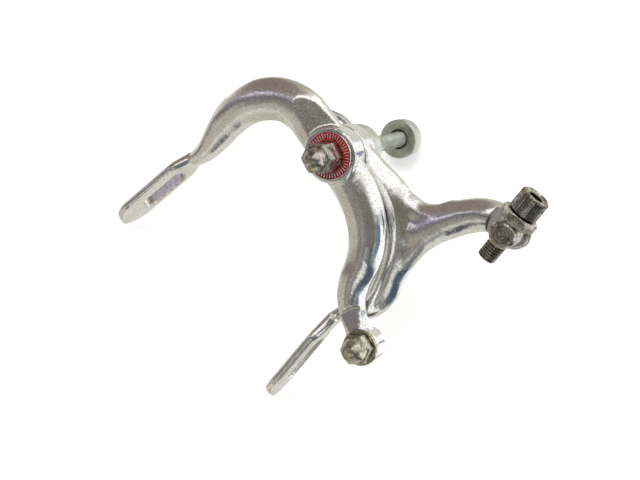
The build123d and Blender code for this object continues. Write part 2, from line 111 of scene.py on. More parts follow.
# ---------------------------------------------------------------------------- shader building
class Shader:
    """A material's node tree, with short calls for the nodes that the finishes share."""

    def __init__(self, name: str) -> None:
        """Starts an empty material.

        Args:
            name: The material's name.
        """
        self.material = bpy.data.materials.new(name)
        self.material.use_nodes = True
        self.nodes = self.material.node_tree.nodes
        self.links = self.material.node_tree.links
        self.nodes.clear()
        self.output = self.nodes.new("ShaderNodeOutputMaterial")
        self.coords = self.nodes.new("ShaderNodeTexCoord")

    def add(self, kind: str, inputs: dict[str | int, object] | None = None,
            **settings: object) -> bpy.types.Node:
        """Adds one node.

        Args:
            kind: The node's type name.
            inputs: Values or output sockets, by input name or number.
            **settings: Attributes set on the node before its inputs.

        Returns:
            The node.
        """
        node = self.nodes.new(kind)
        for key, value in settings.items():
            setattr(node, key, value)
        for key, value in (inputs or {}).items():
            if isinstance(value, bpy.types.NodeSocket):
                self.links.new(value, node.inputs[key])
            else:
                node.inputs[key].default_value = value
        return node

    def noise(self, size_mm: float, detail: float = 3.0, rough: float = 0.5,
              warp: float = 0.0) -> Socket:
        """Cloudy noise.

        Args:
            size_mm: Size of the clouds in millimetres.
            detail: Octaves.
            rough: Weight of the finer octaves.
            warp: Distortion.

        Returns:
            The factor socket.
        """
        node = self.add("ShaderNodeTexNoise",
                        {"Vector": self.coords.outputs["Object"],
                         "Scale": 1.0 / (size_mm * MM), "Detail": detail, "Roughness": rough,
                         "Distortion": warp})
        return node.outputs[0]

    def cells(self, size_mm: float) -> Socket:
        """Distance to the nearest of many scattered points.

        Args:
            size_mm: Spacing of the points in millimetres.

        Returns:
            The distance socket.
        """
        return self.add("ShaderNodeTexVoronoi",
                        {"Vector": self.coords.outputs["Object"],
                         "Scale": 1.0 / (size_mm * MM)}).outputs["Distance"]

    def span(self, value: Socket, low: float, high: float, to_low: float = 0.0,
             to_high: float = 1.0) -> Socket:
        """Maps a range onto another, clamped and eased.

        Args:
            value: The socket to map.
            low: Start of its range.
            high: End of its range.
            to_low: Result at the start.
            to_high: Result at the end.

        Returns:
            The result socket.
        """
        node = self.add("ShaderNodeMapRange",
                        {"Value": value, "From Min": low, "From Max": high, "To Min": to_low,
                         "To Max": to_high}, interpolation_type="SMOOTHSTEP")
        return node.outputs[0]

    def math(self, operation: str, first: Socket | float,
             second: Socket | float = 0.0) -> Socket:
        """One arithmetic step.

        Args:
            operation: Name of the operation.
            first: Socket or number.
            second: Socket or number.

        Returns:
            The result socket.
        """
        return self.add("ShaderNodeMath", {0: first, 1: second}, operation=operation).outputs[0]

    def mix(self, factor: Socket | float, first: Socket | Colour,
            second: Socket | Colour) -> Socket:
        """Mixes two colours.

        Args:
            factor: Socket or number.
            first: Socket or colour.
            second: Socket or colour.

        Returns:
            The colour socket.
        """
        node = self.add("ShaderNodeMix", data_type="RGBA")
        for socket, value in zip((node.inputs[0], node.inputs[6], node.inputs[7]),
                                 (factor, first, second)):
            if isinstance(value, bpy.types.NodeSocket):
                self.links.new(value, socket)
            else:
                socket.default_value = value
        return node.outputs[2]

    def bump(self, height: Socket, depth_mm: float, strength: float = 1.0,
             under: Socket | None = None) -> Socket:
        """A bump layer.

        Args:
            height: Height socket, 0 to 1.
            depth_mm: Depth of a full step in millimetres.
            strength: Share of the bump that shows.
            under: Normal socket of the layer below, or None.

        Returns:
            The normal socket.
        """
        inputs = {"Height": height, "Distance": depth_mm * MM, "Strength": strength}
        if under is not None:
            inputs["Normal"] = under
        return self.add("ShaderNodeBump", inputs).outputs[0]

    def crevice_shade_and_grime(self, colour: Socket, reach_mm: float,
               shade_and_grime_colour: Colour = (0.05, 0.042, 0.034, 1.0)) -> Socket:
        """Paints shade, and a little grime, into what lies deep in a crevice or a gap between parts.

        Args:
            colour: Colour socket.
            reach_mm: How far a wall may stand off and still shade.
            shade_and_grime_colour: Colour of the painted shade and grime.

        Returns:
            The colour socket.
        """
        # painted shade: ambient occlusion darkens the colour deep in crevices and in the gaps
        # between parts, standing also for some grime
        open_share = self.add("ShaderNodeAmbientOcclusion", {"Distance": reach_mm * MM},
                              samples=8).outputs["AO"]
        return self.mix(self.span(open_share, 0.25, 0.85), shade_and_grime_colour, colour)

    def metal(self, colour: Socket, roughness: Socket, normal: Socket) -> bpy.types.Material:
        """Ends the tree in a metal surface.

        Args:
            colour: Colour socket.
            roughness: Roughness socket.
            normal: Normal socket.

        Returns:
            The material.
        """
        surface = self.add("ShaderNodeBsdfPrincipled", {"Base Color": colour, "Metallic": 1.0,
                                                        "Roughness": roughness, "Normal": normal})
        self.links.new(surface.outputs[0], self.output.inputs[0])
        return self.material


def rgb(red: float, green: float, blue: float) -> Colour:
    """A colour with full alpha."""
    return (red, green, blue, 1.0)


@dataclass(frozen=True)
class PolishedAlloy:
    """Hand-polished forged aluminium, faintly wavy, with tarnish, fine grain and small pits."""

    name: str = "polished alloy"
    bright: Colour = rgb(0.92, 0.91, 0.89)
    tarnish: Colour = rgb(0.77, 0.755, 0.72)
    pit: Colour = rgb(0.08, 0.065, 0.05)
    gloss: float = 0.07
    cloud_mm: float = 11.0
    speck_mm: float = 0.5
    smear_mm: float = 4.0
    pit_mm: float = 1.3
    waves_mm: float = 7.0
    ripple_mm: float = 2.4
    # reach of the painted crevice shade, in millimetres
    crevice_shade_mm: float = 2.4

    def make(self) -> bpy.types.Material:
        """Builds the material.

        Returns:
            The material.
        """
        s = Shader(self.name)
        clouds = s.noise(self.cloud_mm, 4, 0.6, warp=0.6)
        colour = s.mix(s.span(clouds, 0.42, 0.72, 0.0, 0.7), self.bright, self.tarnish)
        specks = s.span(s.noise(self.speck_mm, 3, 0.65), 0.51, 0.68, 0.0, 0.42)
        colour = s.mix(specks, colour, self.pit)
        spots = s.cells(self.pit_mm)
        sizes = s.noise(9.0, 2)
        pits = s.math("LESS_THAN", spots, s.span(sizes, 0.44, 0.70, 0.015, 0.15))
        colour = s.mix(s.math("MULTIPLY", pits, 0.85), colour, self.pit)
        smears = s.span(s.noise(self.smear_mm, 5, 0.65), 0.3, 0.75, self.gloss, self.gloss + 0.1)
        rough = s.math("ADD", smears, s.math("MULTIPLY", pits, 0.4))
        waves = s.bump(s.noise(self.waves_mm, 2.5, 0.45), 0.5, 0.34)
        ripple = s.bump(s.noise(self.ripple_mm, 2, 0.5), 0.10, 0.32, waves)
        grain = s.bump(s.noise(self.speck_mm, 4, 0.65), 0.035, 0.55, ripple)
        normal = s.bump(s.span(spots, 0.0, 0.16), 0.07, 0.6, grain)
        # painted shade (and some grime) darkens the colour in crevices and between parts
        return s.metal(s.crevice_shade_and_grime(colour, self.crevice_shade_mm), rough, normal)


@dataclass(frozen=True)
class AgedSteel:
    """Old plated steel: still glossy, brown-grey, freckled with rust and pits."""

    name: str = "aged steel"
    plate: Colour = rgb(0.62, 0.585, 0.52)
    brown: Colour = rgb(0.30, 0.255, 0.20)
    pit: Colour = rgb(0.045, 0.035, 0.028)
    gloss: float = 0.11
    mottle_mm: float = 1.9
    speck_mm: float = 0.55
    # reach of the painted crevice shade, in millimetres
    crevice_shade_mm: float = 0.9

    def make(self) -> bpy.types.Material:
        """Builds the material.

        Returns:
            The material.
        """
        s = Shader(self.name)
        clouds = s.noise(self.mottle_mm, 4, 0.6, warp=0.4)
        colour = s.mix(s.span(clouds, 0.38, 0.64), self.plate, self.brown)
        specks = s.noise(self.speck_mm, 4, 0.65)
        pits = s.span(specks, 0.55, 0.64)
        colour = s.mix(pits, colour, self.pit)
        rough = s.math("ADD", s.span(clouds, 0.3, 0.7, self.gloss, self.gloss + 0.14),
                       s.math("MULTIPLY", pits, 0.3))
        dents = s.bump(clouds, 0.12, 0.22)
        normal = s.bump(specks, 0.07, 0.65, dents)
        # painted shade (and some grime) darkens the colour in crevices and between parts
        return s.metal(s.crevice_shade_and_grime(colour, self.crevice_shade_mm), rough, normal)


@dataclass(frozen=True)
class ZincPlate:
    """Dull zinc plate with turning marks round the pivot axis."""

    name: str = "zinc plate"
    plate: Colour = rgb(0.74, 0.76, 0.68)
    dull: Colour = rgb(0.54, 0.565, 0.49)
    gloss: float = 0.34
    cloud_mm: float = 3.0
    smear_mm: float = 1.2
    grain_mm: float = 0.4
    ring_mm: float = 0.35
    # reach of the painted crevice shade, in millimetres
    crevice_shade_mm: float = 1.2

    def make(self) -> bpy.types.Material:
        """Builds the material.

        Returns:
            The material.
        """
        s = Shader(self.name)
        clouds = s.noise(self.cloud_mm, 4, 0.6)
        colour = s.mix(s.span(clouds, 0.35, 0.7), self.plate, self.dull)
        rough = s.span(s.noise(self.smear_mm, 4, 0.6), 0.3, 0.75, self.gloss, self.gloss + 0.2)
        apart = s.add("ShaderNodeSeparateXYZ", {0: s.coords.outputs["Object"]})
        radius = s.math("SQRT", s.math("ADD", s.math("POWER", apart.outputs[0], 2.0),
                                       s.math("POWER", apart.outputs[2], 2.0)))
        rings = s.math("SINE", s.math("MULTIPLY", radius, 2 * math.pi / (self.ring_mm * MM)))
        turned = s.bump(rings, 0.012, 0.5)
        normal = s.bump(s.noise(self.grain_mm, 3, 0.6), 0.02, 0.4, turned)
        # painted shade (and some grime) darkens the colour in crevices and between parts
        return s.metal(s.crevice_shade_and_grime(colour, self.crevice_shade_mm), rough, normal)


@dataclass(frozen=True)
class RedEnamel:
    """Dark red enamel, a little chalky and worn."""

    name: str = "red enamel"
    red: Colour = rgb(0.19, 0.006, 0.006)
    worn: Colour = rgb(0.32, 0.035, 0.030)
    cloud_mm: float = 1.0
    sheen: float = 0.22

    def make(self) -> bpy.types.Material:
        """Builds the material.

        Returns:
            The material.
        """
        s = Shader(self.name)
        clouds = s.noise(self.cloud_mm, 4, 0.6)
        colour = s.mix(s.span(clouds, 0.45, 0.75), self.red, self.worn)
        surface = s.add("ShaderNodeBsdfPrincipled",
                        {"Base Color": colour, "Roughness": s.span(clouds, 0.3, 0.7, 0.3, 0.5),
                         "Specular IOR Level": self.sheen, "Normal": s.bump(clouds, 0.02, 0.4)})
        s.links.new(surface.outputs[0], s.output.inputs[0])
        return s.material


@dataclass(frozen=True)
class SpringWire:
    """Drawn spring wire, grey and lightly oxidised."""

    name: str = "spring wire"
    wire: Colour = rgb(0.55, 0.54, 0.52)
    oxide: Colour = rgb(0.30, 0.28, 0.25)
    cloud_mm: float = 1.5
    grain_mm: float = 0.4

    def make(self) -> bpy.types.Material:
        """Builds the material.

        Returns:
            The material.
        """
        s = Shader(self.name)
        clouds = s.noise(self.cloud_mm, 4, 0.6)
        colour = s.mix(s.span(clouds, 0.4, 0.75), self.wire, self.oxide)
        normal = s.bump(s.noise(self.grain_mm, 3, 0.6), 0.02, 0.4)
        return s.metal(colour, s.span(clouds, 0.3, 0.7, 0.25, 0.42), normal)


class Finishes:
    """Each finish made once, by material slot."""

    def __init__(self) -> None:
        """Makes every material."""
        usual, pale = Tone.USUAL, Tone.PALE
        self.made: dict[tuple[Slot, Tone], bpy.types.Material] = {
            (Slot.ALLOY, usual): PolishedAlloy().make(),
            (Slot.DARK_STEEL, usual): AgedSteel().make(),
            (Slot.DARK_STEEL, pale): AgedSteel("pale steel", rgb(0.68, 0.66, 0.52),
                                               rgb(0.34, 0.32, 0.23)).make(),
            (Slot.ZINC, usual): ZincPlate().make(),
            (Slot.ENAMEL, usual): RedEnamel().make(),
            (Slot.WIRE, usual): SpringWire().make(),
        }

    def dress(self, piece: bpy.types.Object, slot: Slot, tone: Tone = Tone.USUAL) -> None:
        """Puts a finish on all of a piece.

        Args:
            piece: The object.
            slot: The finish's slot.
            tone: The finish's tone.
        """
        finish = self.made[slot, tone]
        if not piece.data.materials:
            piece.data.materials.append(finish)
        for number in range(len(piece.material_slots)):
            piece.material_slots[number].material = finish


# ---------------------------------------------------------------------------- the bench
class Bench:
    """The few hand moves that every mesh is shaped with."""

    @staticmethod
    def clear() -> None:
        """Leaves edit mode and deselects everything."""
        if bpy.context.mode != "OBJECT":
            bpy.ops.object.mode_set(mode="OBJECT")
        bpy.ops.object.select_all(action="DESELECT")

    @staticmethod
    def take(*pieces: bpy.types.Object) -> None:
        """Selects these pieces only; the first is active.

        Args:
            *pieces: The objects.
        """
        Bench.clear()
        for piece in pieces:
            piece.select_set(True)
        bpy.context.view_layer.objects.active = pieces[0]

    @staticmethod
    def settle(piece: bpy.types.Object) -> bpy.types.Object:
        """Puts a piece's place into its mesh and turns its faces outwards.

        Args:
            piece: The object.

        Returns:
            The same object.
        """
        Bench.take(piece)
        bpy.ops.object.transform_apply(location=True, rotation=True, scale=True)
        bpy.ops.object.mode_set(mode="EDIT")
        bpy.ops.mesh.select_all(action="SELECT")
        bpy.ops.mesh.remove_doubles(threshold=0.002 * MM)
        bpy.ops.mesh.normals_make_consistent(inside=False)
        bpy.ops.object.mode_set(mode="OBJECT")
        return piece

    @staticmethod
    def modify(piece: bpy.types.Object, kind: str, **settings: object) -> bpy.types.Object:
        """Adds a modifier and applies it.

        Args:
            piece: The object.
            kind: The modifier's type.
            **settings: Its attributes.

        Returns:
            The same object.
        """
        Bench.take(piece)
        modifier = piece.modifiers.new(kind.title(), kind)
        for key, value in settings.items():
            setattr(modifier, key, value)
        bpy.ops.object.modifier_apply(modifier=modifier.name)
        return piece

    @staticmethod
    def combine(piece: bpy.types.Object, other: bpy.types.Object, how: str) -> bpy.types.Object:
        """Boolean of two closed pieces; the second is used up.

        Args:
            piece: The piece that is kept.
            other: The tool.
            how: UNION, DIFFERENCE or INTERSECT.

        Returns:
            The kept piece.
        """
        Bench.modify(piece, "BOOLEAN", object=other, operation=how, solver="MANIFOLD")
        bpy.data.objects.remove(other)
        return piece

    @staticmethod
    def join(pieces: Sequence[bpy.types.Object]) -> bpy.types.Object:
        """Joins meshes into the first, without merging their volumes.

        Args:
            pieces: The objects.

        Returns:
            The first object.
        """
        if len(pieces) > 1:
            Bench.take(*pieces)
            bpy.ops.object.join()
        return pieces[0]

    @staticmethod
    def soften(piece: bpy.types.Object, radius_mm: float, angle: float = 30.0,
               steps: int = 2) -> bpy.types.Object:
        """Rounds the edges sharper than an angle, then shades smooth between the rest.

        Args:
            piece: The object.
            radius_mm: Edge radius in millimetres.
            angle: Least angle of an edge that is rounded, in degrees.
            steps: Faces across the rounding.

        Returns:
            The same object.
        """
        Bench.modify(piece, "BEVEL", width=radius_mm * MM, segments=steps, limit_method="ANGLE",
                     angle_limit=math.radians(angle), use_clamp_overlap=True)
        return Bench.shade(piece, angle)

    @staticmethod
    def shade(piece: bpy.types.Object, angle: float = 30.0) -> bpy.types.Object:
        """Shades smooth, apart from edges sharper than an angle in degrees.

        Args:
            piece: The object.
            angle: Least angle of an edge that stays sharp, in degrees.

        Returns:
            The same object.
        """
        Bench.take(piece)
        bpy.ops.object.shade_smooth_by_angle(angle=math.radians(angle))
        return piece


@dataclass(frozen=True)
class Section:
    """One section of a swept form, in millimetres.

    The section is across `heading` in the plane of the arms: `width` lies in that plane and
    `depth` front to back, unless it is turned about the heading.
    """

    x: float
    z: float
    width: float
    y: float
    depth: float
    heading: float
    turn: float = 0.0

    def values(self) -> tuple[float, ...]:
        """The section as plain numbers."""
        return (self.x, self.z, self.width, self.y, self.depth, self.heading, self.turn)

    @property
    def place(self) -> Vector:
        """Middle of the section in metres."""
        return Vector((self.x, self.y, self.z)) * MM

    @property
    def frame(self) -> Matrix:
        """Its axes as columns: width, depth, and back along the limb.

        Returns:
            The three axes.
        """
        aim = math.radians(self.heading)
        way = Vector((math.cos(aim), 0, math.sin(aim)))
        turn = Matrix.Rotation(math.radians(self.turn), 3, way)
        return Matrix((turn @ way.cross(BACK), turn @ BACK, -way)).transposed()


def eased(sections: Sequence[Section], steps: int) -> list[Section]:
    """Sections on a smooth curve through the given ones.

    Args:
        sections: Sections along a limb.
        steps: How many come from each gap.

    Returns:
        The denser row, ends included.
    """
    rows = [s.values() for s in sections]
    padded = [tuple(2 * a - b for a, b in zip(rows[0], rows[1])), *rows,
              tuple(2 * a - b for a, b in zip(rows[-1], rows[-2]))]
    out = []
    for number in range(1, len(padded) - 2):
        before, start, end, after = padded[number - 1:number + 3]
        for step in range(steps):
            t = step / steps
            out.append(Section(*(0.5 * (2 * b + (c - a) * t + (2 * a - 5 * b + 4 * c - d) * t * t
                                        + (3 * b - a - 3 * c + d) * t ** 3)
                                 for a, b, c, d in zip(before, start, end, after))))
    return out + [sections[-1]]


@dataclass
class Limb:
    """A forged limb: one crowned, elliptical section drawn along a row of stations."""

    stations: list[Section]
    steps: int = 5
    sides: int = 32

    def build(self, name: str) -> bpy.types.Object:
        """Draws the section along the stations by extruding, turning and scaling its end face.

        Args:
            name: The object's name.

        Returns:
            A closed mesh.
        """
        rows = eased(self.stations, self.steps)
        first = rows[0]
        Bench.clear()
        bpy.ops.mesh.primitive_circle_add(vertices=self.sides, radius=0.5, fill_type="NGON")
        limb = bpy.context.object
        limb.name = name
        limb.matrix_world = (Matrix.Translation(first.place) @ first.frame.to_4x4()
                             @ Matrix.Diagonal((first.width * MM, first.depth * MM, 1, 1)))
        bpy.ops.object.transform_apply(location=True, rotation=True, scale=True)
        bpy.ops.object.mode_set(mode="EDIT")
        bpy.ops.mesh.select_all(action="SELECT")
        for before, after in pairwise(rows):
            bpy.ops.mesh.extrude_region_move(
                TRANSFORM_OT_translate={"value": after.place - before.place})
            bpy.ops.transform.rotate(value=math.radians(after.heading - before.heading),
                                     orient_axis="Y", center_override=after.place)
            if after.turn != before.turn:
                bpy.ops.transform.rotate(value=math.radians(after.turn - before.turn),
                                         orient_axis="Z", orient_type="GLOBAL",
                                         orient_matrix=after.frame, orient_matrix_type="GLOBAL",
                                         center_override=after.place)
            bpy.ops.transform.resize(
                value=(after.width / before.width, after.depth / before.depth, 1),
                orient_type="GLOBAL", orient_matrix=after.frame, orient_matrix_type="GLOBAL",
                center_override=after.place)
        bpy.ops.object.mode_set(mode="OBJECT")
        return Bench.settle(limb)


@dataclass(frozen=True)
class Seat:
    """Where an upright piece is put: a point on its axis, the way it points, and its own X side."""

    origin: Vector
    way: Vector = field(default_factory=lambda: BACK.copy())
    side: Vector = field(default_factory=lambda: Vector((1.0, 0.0, 0.0)))

    @property
    def matrix(self) -> Matrix:
        """The place as a matrix.

        Returns:
            The seat's matrix.
        """
        z = self.way.normalized()
        y = z.cross(self.side).normalized()
        x = y.cross(z)
        turn = Matrix((x, y, z)).transposed().to_4x4()
        return Matrix.Translation(self.origin) @ turn

    def along(self, distance_mm: float) -> Seat:
        """The same seat, moved along its axis."""
        return Seat(self.origin + self.way.normalized() * distance_mm * MM, self.way, self.side)


class Stock:
    """Upright forms turned or extruded along +Z, in millimetres, then put on a seat."""

    @staticmethod
    def put(piece: bpy.types.Object, seat: Seat | None) -> bpy.types.Object:
        """Moves an upright piece to a seat and settles it.

        Args:
            piece: The object.
            seat: Where it goes, or None to leave it where it is.

        Returns:
            The same object.
        """
        if seat is not None:
            piece.matrix_world = seat.matrix @ piece.matrix_world
        return Bench.settle(piece)

    @staticmethod
    def turned(name: str, profile: Sequence[tuple[float, float]], sides: int = 64,
               seat: Seat | None = None, roll: float = 0.0) -> bpy.types.Object:
        """A closed solid of round or polygonal sections drawn up its axis.

        Args:
            name: The object's name.
            profile: Height and radius of each section, from one end to the other.
            sides: Corners of each section.
            seat: Where it goes, or None for upright at the origin.
            roll: Angle of its first corner in degrees.

        Returns:
            The object.
        """
        Bench.clear()
        low, radius = profile[0]
        bpy.ops.mesh.primitive_circle_add(vertices=sides, radius=radius * MM, fill_type="NGON",
                                          location=(0, 0, low * MM),
                                          rotation=(0, 0, math.radians(roll - 90)))
        piece = bpy.context.object
        piece.name = name
        bpy.ops.object.transform_apply(location=True, rotation=True, scale=True)
        bpy.ops.object.mode_set(mode="EDIT")
        bpy.ops.mesh.select_all(action="SELECT")
        for (before, old), (after, new) in pairwise(profile):
            bpy.ops.mesh.extrude_region_move(
                TRANSFORM_OT_translate={"value": (0, 0, (after - before) * MM)})
            bpy.ops.transform.resize(value=(new / old, new / old, 1),
                                     center_override=(0, 0, after * MM))
        bpy.ops.object.mode_set(mode="OBJECT")
        return Stock.put(piece, seat)

    @staticmethod
    def bored(piece: bpy.types.Object, radius: float, low: float, high: float,
              seat: Seat | None = None, sides: int = 48) -> bpy.types.Object:
        """Bores a round hole through a piece.

        Args:
            piece: The object.
            radius: Radius of the hole in millimetres.
            low: Where it starts along the seat's axis.
            high: Where it ends.
            seat: The hole's axis, or None for the upright one.
            sides: Corners of the hole.

        Returns:
            The same object.
        """
        drill = Stock.turned("drill", [(low, radius), (high, radius)], sides, seat)
        return Bench.combine(piece, drill, "DIFFERENCE")

    @staticmethod
    def drilled(piece: bpy.types.Object, radius: float, height: float,
                sides: int = 48) -> bpy.types.Object:
        """Bores an upright piece right through, from height 0 to its own height."""
        return Stock.bored(piece, radius, -1, height + 1, sides=sides)

    @staticmethod
    def hexagon(name: str, flats: float, height: float, roll: float = 0.0) -> bpy.types.Object:
        """An upright hexagon from height 0, its corners turned off at 30 degrees.

        Args:
            name: The object's name.
            flats: Size across flats.
            height: Its height.
            roll: Angle of a corner from X.

        Returns:
            The object.
        """
        corner = flats / math.sqrt(3)
        clear = corner + 0.3
        rim = flats / 2 - 0.15
        run = (clear - rim) * math.tan(math.radians(30))
        bar = Stock.turned(name, [(0, corner), (height, corner)], 6, roll=roll)
        profile = [(0, rim), (run, clear), (height - run, clear), (height, rim)]
        return Bench.combine(bar, Stock.turned("turning", profile, 72), "INTERSECT")

    @staticmethod
    def threaded(name: str, outer: float, pitch: float, low: float, high: float,
                 end_bevel: float = 0.5) -> bpy.types.Object:
        """An upright threaded rod: a helical ridge round a core, ends bevelled.

        Args:
            name: The object's name.
            outer: Outer radius.
            pitch: Rise of one turn.
            low: Height of its lower end.
            high: Height of its upper end.
            end_bevel: Bevel of the ends.

        Returns:
            The object.
        """
        depth = 0.58 * pitch
        root = outer - depth
        turns = math.ceil((high - low) / pitch) + 2
        Bench.clear()
        bpy.ops.mesh.primitive_circle_add(vertices=4, radius=1, fill_type="NOTHING")
        ridge = bpy.context.object
        ridge.name = name
        shape = ((root - 0.15, -0.47 * pitch), (outer, -0.07 * pitch), (outer, 0.07 * pitch),
                 (root - 0.15, 0.47 * pitch))
        for vertex, (radius, rise) in zip(ridge.data.vertices, shape):
            vertex.co = Vector((radius, 0, rise + low - pitch)) * MM
        Bench.modify(ridge, "SCREW", axis="Z", steps=28, render_steps=28, iterations=turns,
                     screw_offset=pitch * MM, use_merge_vertices=False)
        bpy.ops.object.mode_set(mode="EDIT")
        bpy.ops.mesh.select_all(action="SELECT")
        bpy.ops.mesh.remove_doubles(threshold=0.002 * MM)
        bpy.ops.mesh.fill_holes(sides=4)
        bpy.ops.mesh.normals_make_consistent(inside=False)
        bpy.ops.object.mode_set(mode="OBJECT")
        core = Stock.turned("core", [(low - 2 * pitch, root), (high + 2 * pitch, root)], 56)
        rod = Bench.combine(ridge, core, "UNION")
        limit = Stock.turned("limit", [(low, outer - end_bevel), (low + end_bevel, outer + 0.1),
                                       (high - end_bevel, outer + 0.1),
                                       (high, outer - end_bevel)], 56)
        return Bench.combine(rod, limit, "INTERSECT")


def sizes_of(node: str) -> tuple[float, float]:
    """A turned node's length along the pivot bolt and its radius, in millimetres."""
    low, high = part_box(node)
    return (high.y - low.y) / MM, (high.x - low.x) / 2 / MM


def seat_on(node: str, way: Vector | None = None) -> Seat:
    """A seat on a node's own axis, at the node's front (or at its back for a way of -Y).

    Args:
        node: The CAD node.
        way: The way the piece points, +Y if None.

    Returns:
        The seat.
    """
    low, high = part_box(node)
    way = way or BACK
    centre = (low + high) / 2
    start = low.y if way.y > 0 else high.y
    return Seat(Vector((centre.x, start, centre.z)), way.copy())


@dataclass
class Workshop:
    """Finishes the pieces: finish, name, body and the node that each stands for."""

    finishes: Finishes

    def hand_over(self, piece: bpy.types.Object, name: str, body: str, slot: Slot,
                  *nodes: str, tone: Tone = Tone.USUAL) -> bpy.types.Object:
        """Dresses a piece, hangs it on its body and hides what it stands for.

        Args:
            piece: The object.
            name: Its name in the table.
            body: The body that it rides on.
            slot: Its finish.
            *nodes: CAD nodes that it stands for.
            tone: Tone of the finish.

        Returns:
            The object.
        """
        piece.name = name
        self.finishes.dress(piece, slot, tone)
        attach(piece, body)
        if nodes:
            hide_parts(*nodes)
        LOG.info("%s: %d faces on %s", name, len(piece.data.polygons), body)
        return piece


# ---------------------------------------------------------------------------- the arms
@dataclass
class PadPlate:
    """A slotted pad plate: a thin paddle, flaring from its neck and round at its end."""

    side: int
    x_at_ref: float
    turn: float
    slot: tuple[float, float]
    neck_z: float
    past_slot: float
    neck_depth: float = 5.6
    y: float = -15.8
    ref_z: float = -66.0
    flare: float = 5.8
    width: float = 13.4
    thickness: float = 4.4
    slot_width: float = 6.3
    tip_share: float = 1.35
    edge_share: float = 0.40

    @property
    def seat(self) -> Seat:
        """The plate's middle line: its way runs down the plate, its side out of the +X face.

        Returns:
            The seat.
        """
        lean = math.radians(self.flare)
        down = Vector((self.side * math.sin(lean), 0, -math.cos(lean)))
        flat = Vector((math.cos(lean), 0, self.side * math.sin(lean)))
        outward = Matrix.Rotation(math.radians(self.turn), 3, down) @ flat
        return Seat(Vector((self.side * self.x_at_ref, self.y, self.ref_z)) * MM, down, outward)

    def blank(self) -> bpy.types.Object:
        """The plate without its slot.

        Returns:
            A closed mesh.
        """
        neck = self.ref_z - self.neck_z
        top = self.ref_z - self.slot[0]
        end = self.ref_z - self.slot[1] + self.past_slot
        half, thin = self.width / 2, self.neck_depth / 2
        rows: list[tuple[float, float]] = []
        for step in range(9):
            t = step / 8
            ease = t * t * (3 - 2 * t)
            rows.append((neck + (top + 1 - neck) * t, thin + (half - thin) * ease))
        rows.append(((top + end) / 2 - 2, half))
        tip = self.tip_share * half
        for step in range(12):
            angle = math.radians(85 * step / 11)
            rows.append((end - tip + tip * math.sin(angle), half * math.cos(angle)))
        Bench.clear()
        bpy.ops.mesh.primitive_plane_add(size=1)
        plate = bpy.context.object
        plate.name = "pad plate"
        first = rows[0]
        plate.scale = (self.thickness * MM, 2 * first[1] * MM, 1)
        plate.location = (0, 0, first[0] * MM)
        bpy.ops.object.transform_apply(location=True, rotation=True, scale=True)
        bpy.ops.object.mode_set(mode="EDIT")
        bpy.ops.mesh.select_all(action="SELECT")
        bpy.ops.mesh.bevel(affect="VERTICES", offset=self.edge_share * self.thickness * MM,
                           segments=6)
        bpy.ops.mesh.select_all(action="SELECT")
        for (low, old), (high, new) in pairwise(rows):
            bpy.ops.mesh.extrude_region_move(
                TRANSFORM_OT_translate={"value": (0, 0, (high - low) * MM)})
            bpy.ops.transform.resize(value=(1, new / old, 1), center_override=(0, 0, high * MM))
        bpy.ops.object.mode_set(mode="OBJECT")
        return Stock.put(plate, self.seat)

    def window(self) -> bpy.types.Object:
        """The slot's cutter: a cylinder across the plate, pulled out to the slot's length.

        Returns:
            The cutter.
        """
        top, bottom = self.ref_z - self.slot[0], self.ref_z - self.slot[1]
        radius = self.slot_width / 2
        seat = self.seat
        across = Seat(seat.origin + seat.way * top * MM - seat.side * 8 * MM, seat.side, seat.way)
        cutter = Stock.turned("slot", [(0, radius), (16, radius)], 40)
        run = (bottom - top - self.slot_width) * MM
        for vertex in cutter.data.vertices:
            vertex.co.x += radius * MM + (run if vertex.co.x > 0.001 * MM else 0.0)
        return Stock.put(cutter, across)


